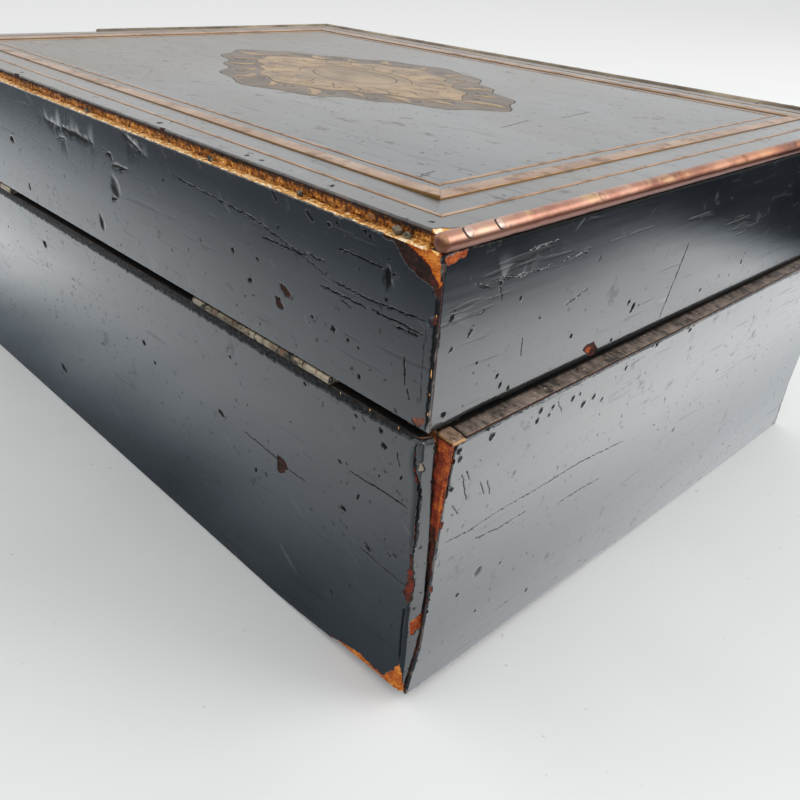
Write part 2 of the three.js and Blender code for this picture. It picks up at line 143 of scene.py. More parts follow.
class Shade:
    """One value over a surface. Sums of these and of numbers add the nodes that work them out."""

    def __init__(self, tree, output):
        self.tree = tree
        self.output = output

    def node(self, kind, settings=None, values=None, take=0):
        made = self.tree.nodes.new("ShaderNode" + kind)
        for name, value in (settings or {}).items():
            if name == "stops":
                ramp = made.color_ramp
                while len(ramp.elements) < len(value):
                    ramp.elements.new(1)
                for element, (place, color) in zip(ramp.elements, value):
                    element.position = place
                    element.color = (*color, 1)
            else:
                setattr(made, name, value)
        for name, value in (values or {}).items():
            if isinstance(value, Shade):
                self.tree.links.new(value.output, made.inputs[name])
            else:
                made.inputs[name].default_value = value
        return Shade(self.tree, made.outputs[take])

    def math(self, operation, *others):
        return self.node("Math", {"operation": operation}, dict(enumerate((self, *others))))

    def __add__(self, other):
        return self.math("ADD", other)

    def __sub__(self, other):
        return self.math("SUBTRACT", other)

    def __mul__(self, other):
        return self.math("MULTIPLY", other)

    def __rsub__(self, other):
        return self * -1 + other

    __radd__ = __add__
    __rmul__ = __mul__

    def most(self, other):
        return self.math("MAXIMUM", other)

    def between(self, low, high):
        """0 on low's side and 1 on high's, with a soft step from one to the other."""
        values = {"Value": self, "From Min": low, "From Max": high}
        return self.node("MapRange", {"interpolation_type": "SMOOTHSTEP"}, values)

    def stretched(self, x, y, z):
        """This place, with its three coordinates scaled."""
        return self.node("VectorMath", {"operation": "MULTIPLY"}, {0: self, 1: (x, y, z)})

    def noise(self, scale, detail=3, rough=0.5, warp=0):
        values = {"Vector": self, "Scale": scale, "Detail": detail, "Roughness": rough, "Distortion": warp}
        return self.node("TexNoise", {}, values)

    def axis(self, number):
        return self.node("SeparateXYZ", {}, {0: self}, number)

    def tint(self, low, high):
        """A colour that goes from low to high as this goes from 0 to 1."""
        ends = {socket: (*end, 1) if isinstance(end, tuple) else end for socket, end in ((6, low), (7, high))}
        return self.node("Mix", {"data_type": "RGBA"}, {"Factor": self, **ends}, 2)

    def ramp(self, *stops):
        return self.node("ValToRGB", {"stops": stops}, {"Fac": self})

    def mark(self, name):
        """A value that the mesh carries at its points."""
        return self.node("Attribute", {"attribute_name": name}, {}, 2)

    def facing(self, number):
        """How far the surface faces along an axis of the piece."""
        return self.node("TexCoord", {}, {}, "Normal").axis(number)


def finish(name, paint, bare=None, **constants):
    """A material. paint gets the place on the piece and says what varies over the surface. bare
    does so for a dull layer under the first, and says how far it is laid bare."""
    made = bpy.data.materials.new(name)
    made.use_nodes = True
    tree = made.node_tree
    shader = tree.nodes["Principled BSDF"]
    for socket, value in constants.items():
        shader.inputs[socket.replace("_", " ")].default_value = value
    place = Shade(tree, tree.nodes.new("ShaderNodeTexCoord").outputs["Object"])

    def connect(shader, varied):
        for socket, value in varied.items():
            if socket == "Normal":
                height, depth = value
                value = place.node("Bump", {}, {"Height": height, "Distance": depth * MM})
            tree.links.new(value.output, shader.inputs[socket])

    connect(shader, paint(place))
    if bare:
        dull = tree.nodes.new("ShaderNodeBsdfPrincipled")
        dull.inputs["Specular IOR Level"].default_value = DULL
        share, varied = bare(place)
        connect(dull, varied)
        mix = tree.nodes.new("ShaderNodeMixShader")
        tree.links.new(share.output, mix.inputs[0])
        tree.links.new(shader.outputs[0], mix.inputs[1])
        tree.links.new(dull.outputs[0], mix.inputs[2])
        tree.links.new(mix.outputs[0], tree.nodes["Material Output"].inputs["Surface"])
    return made


def flat_stage(name, half, lift, material):
    """A square of the studio, centred under the box."""
    mesh = bpy.data.meshes.new(name)
    corners = [(x * half, y * half, lift) for x, y in ((-1, -1), (1, -1), (1, 1), (-1, 1))]
    mesh.from_pydata(corners, [], [(0, 1, 2, 3)])
    mesh.materials.append(material)
    plane = bpy.data.objects.new(name, mesh)
    bpy.context.scene.collection.objects.link(plane)
    plane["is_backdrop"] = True
    return plane


def table_paint(place):
    """White board with faint clouds and specks, a little greyer far from the box by painted shade."""
    cloud = place.noise(7, 3)
    specks = place.noise(260, 2).between(0.72, 0.78)
    color = cloud.between(0.35, 0.65).tint((0.77, 0.77, 0.762), (0.815, 0.815, 0.808))
    # Painted shade: the table greys with distance from the box.
    far = place.node("VectorMath", {"operation": "LENGTH"}, {0: place}, "Value").between(0.4, 1.6)
    color = far.tint(color, (0.76, 0.755, 0.742))
    return {"Base Color": specks.tint(color, (0.66, 0.65, 0.64))}


def painted_reflection_paint(place):
    """Painted reflections for each side of the polish: behind the box, to its left, and all round it."""
    x, y = place.axis(0), place.axis(1)
    uneven = (place.noise(9, 3) - 0.5) * 0.05
    left = (x + uneven).between(-0.352, -0.272) * (x.between(-0.16, -0.2) * 0.42 + 0.55)
    left = left * y.between(-0.39, -0.26) * (y.between(-0.25, 0.0) * 0.25 + 0.75)
    back = ((y + uneven).between(0.105, 0.18) * 0.4 + 0.05) * (y.between(0.34, 0.21) * 0.85 + 0.15)
    back = back * (x.between(0.02, 0.2) * (y.between(0.2, 0.14) * 0.75 + 0.1) + 1)
    rest = (x.math("ABSOLUTE").most(y.math("ABSOLUTE"))).between(0.45, 0.2) * 0.3 + 0.05
    behind = y.math("GREATER_THAN", BOX_BACK)
    beside = x.math("LESS_THAN", BOX_LEFT)
    bright = behind * back + (1 - behind) * (beside * left + (1 - beside) * rest)
    dim, middling = (0.12, (0.102, 0.12, 0.136)), (0.4, (0.375, 0.4, 0.42))
    return {"Emission Color": bright.ramp((0, (0, 0, 0)), dim, middling, (1, (0.99, 1, 1)))}


table = finish("table_top", table_paint, Roughness=1, Specular_IOR_Level=0)
flat_stage("table_top", FLOOR_HALF, 0, table)
# The card glows with the painted reflections, and only glossy rays see it.
painted_reflection_finish = finish("painted_reflection_card", painted_reflection_paint, Base_Color=(0, 0, 0, 1), Specular_IOR_Level=0,
                  Emission_Strength=CARD_GLOW)
card = flat_stage("painted_reflection_card", CARD_HALF, CARD_LIFT, painted_reflection_finish)
card.visible_camera = False
card.visible_diffuse = False
card.visible_shadow = False
card.visible_transmission = False

lamp = bpy.data.lights.new("window", "AREA")
lamp.shape = "DISK"
lamp.size = WINDOW_SIZE
lamp.energy = WINDOW_POWER
window = bpy.data.objects.new("window", lamp)
window.location = WINDOW_PLACE
window.rotation_euler = (-Vector(WINDOW_PLACE)).to_track_quat("-Z", "Y").to_euler()
bpy.context.scene.collection.objects.link(window)

world = bpy.data.worlds.new("room")
bpy.context.scene.world = world
world.use_nodes = True
room = world.node_tree.nodes["Background"]
room.inputs["Color"].default_value = ROOM_COLOR

# The carcass: softwood boards, lapped and glued at the corners, with their sawn arrises worn
# round. Bare wood shows inside, underneath, and along the rims where base and lid meet.
BOARD_WEAR = 0.35
SEAM_SOFT = 0.0005
SAME_PLACE = 1e-6
ON_CUT = 1e-7
FLAT_BELOW = math.radians(0.5)
SMOOTH_BELOW = math.radians(35)
BEVEL_ABOVE = math.radians(28)


def wood_colors(place, light, dark):
    """Grain that runs level along every board, its finer fibres, and the wood's colour."""
    grain = place.stretched(1, 1, 9).noise(26, 5, 0.62, 1.2)
    fibres = place.stretched(1, 1, 2).noise(700, 3, 0.7)
    color = grain.between(0.32, 0.68).tint(dark, light)
    return grain, fibres, color


def carcass_finish(name, rim_light, rim_dark, axis, shade_from, shade_to):
    """Softwood whose rims are stained by handling, with painted shade, near black, where the lid shuts over
    them. The painted shade lies between two distances from the box's middle."""

    def paint(place):
        grain, fibres, wood = wood_colors(place, (0.52, 0.27, 0.09), (0.23, 0.09, 0.028))
        ticks = place.stretched(0.8, 1.7, 1).noise(330, 4, 0.75)
        patches = place.noise(120, 4, 0.75)
        flecks = place.noise(900, 2).between(0.66, 0.72)
        rim = (ticks * 0.45 + patches * 0.55).between(0.38, 0.62).tint(rim_dark, rim_light)
        rim = flecks.tint(rim, (0.6, 0.48, 0.34))
        across = place.axis(axis).math("ABSOLUTE")
        # Painted shade: the rim goes near black under the lid's edge and in the seam.
        grime = across.between(shade_from - SEAM_SOFT, shade_from + SEAM_SOFT)
        grime = grime * across.between(shade_to + SEAM_SOFT, shade_to - SEAM_SOFT)
        rim = (grime * 0.97).tint(rim, (0.002, 0.002, 0.002))
        face = place.facing(2).math("ABSOLUTE").between(0.6, 0.9)
        stain = place.noise(38, 3).between(0.45, 0.75)
        return {
            "Base Color": face.tint((stain * 0.6).tint(wood, (0.09, 0.03, 0.012)), rim),
            "Roughness": fibres * 0.25 + 0.42,
            "Normal": (grain * 0.5 + ticks * 0.7 + fibres * 0.4, 0.22),
        }

    return finish(name, paint)


def plain_wood_paint(place):
    grain, fibres, wood = wood_colors(place, (0.5, 0.27, 0.1), (0.24, 0.1, 0.035))
    dust = place.noise(24, 4).between(0.42, 0.7)
    color = (dust * 0.55).tint(wood, (0.12, 0.065, 0.035))
    return {"Base Color": color, "Roughness": fibres * 0.2 + 0.5, "Normal": (grain * 0.6 + fibres * 0.4, 0.2)}


black_shaded_rim_wood = carcass_finish(
    "softwood_shaded_black_at_rim", (0.16, 0.12, 0.09), (0.012, 0.009, 0.007), 1, 0.1035, 0.12)
brown_rim_shaded_wood = carcass_finish(
    "softwood_stained_and_shaded", (0.17, 0.13, 0.098), (0.016, 0.011, 0.009), 0, 0.1455, 0.16)
left_rim_shaded_wood = carcass_finish(
    "softwood_rubbed_and_shaded", (0.25, 0.19, 0.15), (0.018, 0.012, 0.01), 0, 0.1445, 0.149)
plain_wood = finish("plain_softwood", plain_wood_paint)


def meshed(name, shape):
    """The mesh of a shape that is finished with."""
    mesh = bpy.data.meshes.new(name)
    shape.to_mesh(mesh)
    shape.free()
    mesh.shade_smooth()
    return mesh


def added(name, mesh, material, body, node=None):
    """A new piece that rides on a body, and stands for a node where it has the node's shape."""
    mesh.materials.clear()
    mesh.materials.append(material)
    mesh.set_sharp_from_angle(angle=SMOOTH_BELOW)
    piece = bpy.data.objects.new(name, mesh)
    bpy.context.scene.collection.objects.link(piece)
    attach(piece, body)
    if node:
        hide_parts(node)
    return piece


def cut_across(shape, point, axis):
    """Puts a row of points round a shape where an axis passes a point, for it to bend there."""
    normal = [0, 0, 0]
    normal[axis] = 1
    place = [v * point for v in normal]
    geometry = shape.verts[:] + shape.edges[:] + shape.faces[:]
    bmesh.ops.bisect_plane(shape, geom=geometry, dist=ON_CUT, plane_co=place, plane_no=normal)


def eased(node_name, material, wear, change=None):
    """A solid of the frame with its corners worn round."""
    node = frame["nodes"][node_name]
    shape = bmesh.new()
    shape.from_mesh(node.data)
    bmesh.ops.remove_doubles(shape, verts=shape.verts, dist=SAME_PLACE)
    bmesh.ops.dissolve_limit(shape, angle_limit=FLAT_BELOW, verts=shape.verts, edges=shape.edges)
    if change:
        change(shape)
    sharp = [edge for edge in shape.edges if edge.is_manifold and edge.calc_face_angle() > BEVEL_ABOVE]
    bmesh.ops.bevel(shape, geom=sharp, offset=wear * MM, segments=2, profile=0.5, affect="EDGES")
    bmesh.ops.triangulate(shape, faces=shape.faces)
    name = node_name + "_worn"
    return added(name, meshed(name, shape), material, body_of(node)[0], node_name)


# The base's sprung corner has lost wood underneath: the two walls that meet there end short of
# the table. The boards also stop short where a sheet of veneer turns over their ends.
LOST_UNDER_BACK = ((-155, 3.7), (-145, 3.1), (-134, 2.6), (-122, 1.8), (-110, 0.8), (-98, 0))
LOST_UNDER_LEFT = ((112, 3.5), (90, 3.1), (60, 2.9), (30, 2.2), (0, 1.3), (-40, 0.4), (-66, 0))
UNDER_BAND = 4
HIDDEN_BY = 0.3
VENEER = 1
END_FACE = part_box("base_back_wall")[0].x / MM
RECESS = 1.9
CORNER_CUT = 1.7


def lifted_edge(steps, axis, recess=0.0):
    """Raises a board's lower edge to a worn line, given as places along an axis and heights. The
    back board's ends are drawn in too, and the left board's far end by a recess."""

    def change(shape):
        far_end = max(vert.co.y for vert in shape.verts)
        for vert in shape.verts:
            if recess and vert.co.y > far_end - HIDDEN_BY * MM:
                vert.co.y -= recess * MM
        for along, _ in steps:
            cut_across(shape, along * MM, axis)
        places, heights = zip(*sorted(steps))
        for vert in shape.verts:
            least = float(np.interp(vert.co[axis] / MM, places, heights)) * MM
            if vert.co.z < UNDER_BAND * MM:
                vert.co.z = max(vert.co.z, least + HIDDEN_BY * MM)
            if axis == 0:
                vert.co.x = min(vert.co.x, (-END_FACE - VENEER - HIDDEN_BY) * MM)
            if axis == 0 and vert.co.x < (END_FACE + HIDDEN_BY) * MM:
                cut = CORNER_CUT if vert.co.y > far_end - HIDDEN_BY * MM else 0
                vert.co.x = (END_FACE + VENEER + HIDDEN_BY + cut) * MM

    return change


def shortened(shape):
    """Makes room for the veneer over a board's ends."""
    reach = (-END_FACE - VENEER - HIDDEN_BY) * MM
    for vert in shape.verts:
        vert.co.x = max(-reach, min(reach, vert.co.x))


eased("base_back_wall", black_shaded_rim_wood, BOARD_WEAR, lifted_edge(LOST_UNDER_BACK, 0))
eased("base_left_wall", left_rim_shaded_wood, BOARD_WEAR, lifted_edge(LOST_UNDER_LEFT, 1, RECESS))
eased("base_front_wall", black_shaded_rim_wood, BOARD_WEAR, shortened)
for name in ("base_right_wall", "lid_left_wall", "lid_right_wall"):
    eased(name, brown_rim_shaded_wood, BOARD_WEAR)
for name in ("base_bottom", "lid_top_board"):
    eased(name, plain_wood, BOARD_WEAR)
for name in ("lid_back_wall", "lid_front_wall"):
    eased(name, black_shaded_rim_wood, BOARD_WEAR)

# The base's veneer: thin pearwood stained black and french polished, glued on with its grain
# level. It is worn round at the arrises, dented, cracked along the grain and chipped to the wood.
EDGE_WEAR = 0.3
NEAR_ARRIS = 1.5
NEAR_BEND = math.radians(68)
STRIP_REACH = 3.75
SEAM_CHAMFER = 0.65
CRACK_STEP = 0.6
CHIP_STEP = 0.4
OUTLINE_STEP = 1.6
FLAT_STEP = 7
JITTER = 0.25
TURN_ROWS = (-0.8, -0.25, 0, 0.17, 0.34, 0.5, 0.66, 0.83, 1, 1.25, 1.7)
TURN_STEP = 1.5
EDGE_ROWS = (0.25, 0.6, 1, 1.5, 2.1)
POINT_GRID = 0.05
LEAST_GAP = 0.06
SCRATCH_SLANT = 0.6
ALONG_X = (0.09, 1, 1)
ALONG_Y = (1, 0.09, 1)
LACQUER = {"IOR": 1.45, "Coat_IOR": 1.4, "Coat_Roughness": 0.07}
SCAR_BLACK = (0.002, 0.002, 0.0025)
DUST = (0.21, 0.16, 0.105)


class Face:
    """A flat side of the box. Places on it are measured along it and up it, in millimetres. A
    turn says where a sheet starts to bend round an arris, the bend's radius and its angle."""

    def __init__(self, corner, along, up, out, turn=None):
        self.corner, self.along, self.up, self.out = (Vector(v) for v in (corner, along, up, out))
        self.turn = turn

    def spot(self, pixel):
        found = seen_on(pixel, self.corner, self.out) - self.corner
        return found.dot(self.along), found.dot(self.up)

    def placed(self, spots, heights):
        """Places in metres. Past its turn, a sheet bends round the arris on to the next face."""
        along, up, out = (np.array(v) for v in (self.along, self.up, self.out))
        u, v = spots.T
        base = np.array(self.corner) + v[:, None] * up
        if self.turn is None:
            return (base + u[:, None] * along + heights[:, None] * out) * MM
        start, radius, most = self.turn
        bend = np.clip((start - u) / radius, 0, most)
        past = np.clip(start - u - radius * most, 0, None)
        arm = radius + heights
        a = np.maximum(u, start) - arm * np.sin(bend) - past * math.cos(most)
        o = arm * np.cos(bend) - radius - past * math.sin(most)
        return (base + a[:, None] * along + o[:, None] * out) * MM


def along_line(spots, path):
    """How far each spot is from a path, and how far along the path it lies, from 0 to 1."""
    best = np.full(len(spots), np.inf)
    share = np.zeros(len(spots))
    path = [np.array(p) for p in path]
    lengths = [np.linalg.norm(b - a) for a, b in zip(path, path[1:])]
    gone = 0
    for start, end, length in zip(path, path[1:], lengths):
        run = end - start
        at = np.clip(((spots - start) @ run) / max(length * length, 1e-12), 0, 1)
        far = np.linalg.norm(spots - start - at[:, None] * run, axis=1)
        nearer = far < best
        best[nearer] = far[nearer]
        share[nearer] = ((gone + at * length) / sum(lengths))[nearer]
        gone += length
    return best, share


def inside(spots, outline):
    """Which spots lie inside a closed outline."""
    x, y = spots.T
    within = np.zeros(len(spots), bool)
    for (x1, y1), (x2, y2) in zip(outline, [*outline[1:], outline[0]]):
        if y1 != y2:
            within ^= ((y1 > y) != (y2 > y)) & (x < (x2 - x1) * (y - y1) / (y2 - y1) + x1)
    return within


def stepped(path, step, wobble=0.0, closed=False):
    """A path cut into short steps, with an uneven hand's wobble to it."""
    ends = [*path, path[0]] if closed else path
    made = []
    for start, end in zip(ends, ends[1:]):
        start, end = Vector(start), Vector(end)
        count = max(1, math.ceil((end - start).length / step))
        made += [start.lerp(end, k / count) for k in range(count)]
    if not closed:
        made.append(Vector(ends[-1]))
    shaken = []
    for x, y in made:
        at = Vector((x * 0.9, y * 0.9, len(path)))
        shaken.append((x + wobble * noise.noise(at), y + wobble * noise.noise(at + Vector((9, 9, 9)))))
    return shaken


def beside(path, distances, closed=False):
    """Points at each of several distances to the left of a path's points."""
    made = []
    count = len(path)
    for k in range(count):
        before = path[k - 1] if k or closed else path[k]
        after = path[(k + 1) % count] if k + 1 < count or closed else path[k]
        run = Vector(after) - Vector(before)
        if run.length:
            side = Vector((-run.y, run.x)).normalized()
            made += [Vector(path[k]) + side * d for d in distances]
    return made


def near_to(spots, points, margin):
    """Which spots are within a margin of the box round some points."""
    low, high = np.min(points, axis=0) - margin, np.max(points, axis=0) + margin
    return ((spots > low) & (spots < high)).all(axis=1)


class Crack:
    """A split along the grain: a dark line that tapers to its ends."""

    def __init__(self, path, width=0.26, depth=0.3, dark=1.0):
        self.path = stepped(path, CRACK_STEP, min(1.2 * width, 0.12 / width))
        self.half = width / 2
        self.depth = depth
        self.dark = dark

    def points(self):
        far = [0, self.half * 0.7, self.half * 1.5, self.half * 1.5 + 0.12, self.half * 1.5 + 0.3]
        made = beside(self.path, [side * f for f in far for side in (1, -1)])
        for end, before in ((self.path[0], self.path[1]), (self.path[-1], self.path[-2])):
            away = (Vector(end) - Vector(before)).normalized()
            turn = math.atan2(away.y, away.x)
            for reach in (0.2, 0.45):
                made += [Vector(end) + Vector((math.cos(turn + a), math.sin(turn + a))) * reach
                         for a in (-1.2, -0.4, 0.4, 1.2)]
        return made

    def press(self, spots, skin):
        close = np.flatnonzero(near_to(spots, self.path, 4 * self.half))
        if len(close) == 0:
            return
        far, share = along_line(spots[close], self.path)
        taper = np.clip(np.minimum(share, 1 - share) * 12, 0.02, 1)
        near = np.clip(1.5 - far / (self.half * taper), 0, 1)
        skin["height"][close] -= self.depth * near * np.minimum(taper * 2, 1)
        skin["dark"][close] = np.maximum(skin["dark"][close], near * self.dark)


class Dent:
    """A bruise with a raised lip. One with a tone has broken through to the wood."""

    def __init__(self, center, long, short, angle=0.0, depth=0.4, tone=None, dark=0.85):
        self.center = np.array(center)
        self.size = np.array((long, short))
        self.turn = np.array(((math.cos(angle), math.sin(angle)), (-math.sin(angle), math.cos(angle))))
        self.depth = depth
        self.tone = tone
        self.dark = dark

    def points(self):
        rings = [(r, k) for r in (0.35, 0.7, 1, 1.25, 1.6, 2.0, 2.6) for k in range(16)]
        angles = [(r, 2 * math.pi * (k + r) / 16) for r, k in rings]
        return [self.center, *(self.center + (self.size * (r * math.cos(a), r * math.sin(a))) @ self.turn
                               for r, a in angles)]

    def press(self, spots, skin):
        close = np.flatnonzero(near_to(spots, [self.center], 2 * self.size.max()))
        local = ((spots[close] - self.center) @ self.turn.T) / self.size
        uneven = [noise.noise(Vector((x * 1.4 + self.center[0], y * 1.4, self.center[1]))) for x, y in local]
        radius = np.linalg.norm(local, axis=1) * (1 + 0.4 * np.array(uneven))
        skin["height"][close] -= self.depth * np.clip(1 - radius**2, 0, 1)
        skin["height"][close] += 0.12 * self.depth * np.clip(1 - np.abs(radius - 1.2) * 4, 0, 1)
        hollow = np.clip((1.1 - radius) * 4, 0, 1)
        if self.tone is None:
            skin["dark"][close] = np.maximum(skin["dark"][close], hollow * self.dark)
        else:
            skin["raw"][close] = np.maximum(skin["raw"][close], hollow)
            skin["tone"][close] = np.where(hollow > 0, self.tone, skin["tone"][close])


def gouge(face, start, end, width, dark=0.85):
    """A dent as long as the way between two pixels."""
    start, end = Vector(face.spot(start)), Vector(face.spot(end))
    run = end - start
    return Dent((start + end) / 2, run.length / 2, width, math.atan2(run.y, run.x), 0.3, dark=dark)


class Chip:
    """Polish or veneer broken away within an outline. The tone goes from dark scar to bright wood,
    and without one the polish is only worn dull and dark."""

    def __init__(self, outline, depth=0.6, tone=None, cover=1.0):
        self.outline = stepped(outline, CHIP_STEP, 0.5, closed=True)
        self.depth = depth
        self.tone = tone
        self.cover = cover

    def points(self):
        made = beside(self.outline, (-0.3, -0.1, 0.12, 0.4), closed=True)
        low, high = np.min(self.outline, axis=0), np.max(self.outline, axis=0)
        grid = np.mgrid[low[0]:high[0]:CHIP_STEP, low[1]:high[1]:CHIP_STEP].reshape(2, -1).T
        return [*made, *grid[inside(grid, self.outline)]] if len(grid) else made

    def press(self, spots, skin):
        close = np.flatnonzero(near_to(spots, self.outline, 0.5))
        if len(close) == 0:
            return
        here = spots[close]
        far, _ = along_line(here, [*self.outline, self.outline[0]])
        deep = np.where(inside(here, self.outline), far, 0)
        torn = np.array([noise.noise(Vector((x * 1.5, y * 4, 3))) if d else 0
                         for (x, y), d in zip(here, deep)])
        skin["height"][close] -= self.depth * np.clip(deep / 0.35, 0, 1) * (0.8 + 0.35 * torn)
        bare = np.clip(deep / 0.15, 0, 1)
        if self.tone is None:
            skin["dark"][close] = np.maximum(skin["dark"][close], bare * (self.cover + 0.3 * torn))
            return
        skin["raw"][close] = np.maximum(skin["raw"][close], bare * self.cover)
        skin["dark"][close] *= 1 - bare
        skin["tone"][close] = np.where(bare > 0, self.tone + 0.2 * torn, skin["tone"][close])


def surface_points(loops, marks, wear, fine, turn=None):
    """Where a sheet's mesh has points: rows inside its edges, its marks, rows where it turns an
    arris, and a loose grid."""
    rows = [side * wear * share for share in EDGE_ROWS for side in (1, -1)]
    found = [tuple(p) for loop in loops for p in beside(loop, rows, closed=True)]
    for mark in marks:
        found += [tuple(p) for p in mark.points()]
    low, high = np.min(loops[0], axis=0), np.max(loops[0], axis=0)
    if turn:
        start, radius, most = turn
        for share in TURN_ROWS:
            found += [(start - share * radius * most, v) for v in np.arange(low[1], high[1], TURN_STEP)]
    shaker = random.Random(7)
    for u in np.arange(low[0], high[0], fine):
        for v in np.arange(low[1], high[1], fine):
            du, dv = (fine * JITTER * shaker.uniform(-1, 1) for _ in range(2))
            found.append((u + du, v + dv))
    found = np.unique(np.round(np.array(found, dtype=float) / POINT_GRID), axis=0) * POINT_GRID
    keep = inside(found, loops[0])
    for hole in loops[1:]:
        keep &= ~inside(found, hole)
    found = found[keep]
    far = np.full(len(found), np.inf)
    for loop in loops:
        far = np.minimum(far, along_line(found, [*loop, loop[0]])[0])
    return found[far > LEAST_GAP]


def joined_up(points, loops):
    """Triangles between points, within a closed outline and outside its holes."""
    edges = []
    first = 0
    for loop in loops:
        count = len(loop)
        edges += [(first + k, first + (k + 1) % count) for k in range(count)]
        first += count
    made, _, faces, origins, *_ = delaunay_2d_cdt([Vector(p) for p in points], edges, [], 0, 1e-5)
    back = [origin[0] for origin in origins]
    faces = np.array([[back[i] for i in face] for face in faces])
    middles = np.array(points)[faces].mean(axis=1)
    keep = inside(middles, loops[0])
    for hole in loops[1:]:
        keep &= ~inside(middles, hole)
    return faces[keep]


def sheet(name, face, outline, material, body, marks=(), thick=VENEER, wear=EDGE_WEAR, holes=(),
          fine=FLAT_STEP, step=OUTLINE_STEP, ragged=0.12, rough=None, side=(1, 0.25), node=None, slot=None,
          shape=None):
    """A thin closed sheet lying on a face, with its worn edges and its marks pressed in. Side is
    how bare its back and its cut edges are, and the tone of their wood."""
    loops = [stepped(loop, step, ragged, closed=True) for loop in (outline, *holes)]
    rim = [p for loop in loops for p in loop]
    inner = surface_points(loops, marks, wear, fine, face.turn)
    spots = np.vstack([np.array(rim), inner])
    far = np.full(len(spots), np.inf)
    for loop in loops:
        far = np.minimum(far, along_line(spots, [*loop, loop[0]])[0])
    short = np.clip(wear - far, 0, wear)
    skin = {"height": np.sqrt(wear * wear - short * short) - wear}
    for key in ("dark", "raw", "tone"):
        skin[key] = np.zeros(len(spots))
    skin["edge"] = np.clip(1.4 - far / wear, 0, 1)
    for mark in marks:
        mark.press(spots, skin)
    if rough:
        depth, along, across = rough
        skin["height"] += depth * np.array([noise.fractal(Vector((u / along, v / across, 5)), 0.7, 2, 4)
                                            for u, v in spots])
    if shape:
        skin["height"] += shape(spots)
    skin["height"] = np.maximum(skin["height"], -0.92 * thick)
    count, total = len(rim), len(spots)
    under = np.array(rim)
    back = face.placed(under, np.full(count, -float(thick)))
    places = np.clip(np.vstack([face.placed(spots, skin["height"]), back]), cad_low, cad_high)
    top = joined_up(spots, loops)
    bottom = joined_up(under, loops)[:, ::-1] + total
    walls = []
    first = 0
    for loop in loops:
        size = len(loop)
        for k in range(size):
            a, b = first + k, first + (k + 1) % size
            walls.append((a, total + a, total + b, b))
        first += size
    shell = bmesh.new()
    verts = [shell.verts.new(p) for p in places]
    for corners in (*top.tolist(), *bottom.tolist(), *walls):
        shell.faces.new([verts[i] for i in corners])
    bmesh.ops.recalc_face_normals(shell, faces=shell.faces)
    bmesh.ops.triangulate(shell, faces=[f for f in shell.faces if len(f.verts) > 3])
    mesh = meshed(name, shell)
    raw, tone = side
    for key, below in (("dark", 0), ("raw", raw), ("tone", tone), ("edge", 0)):
        values = np.concatenate([skin[key], np.full(count, float(below))])
        mesh.attributes.new(key, "FLOAT", "POINT").data.foreach_set("value", values.astype(np.float32))
    return added(name, mesh, material, body, node)


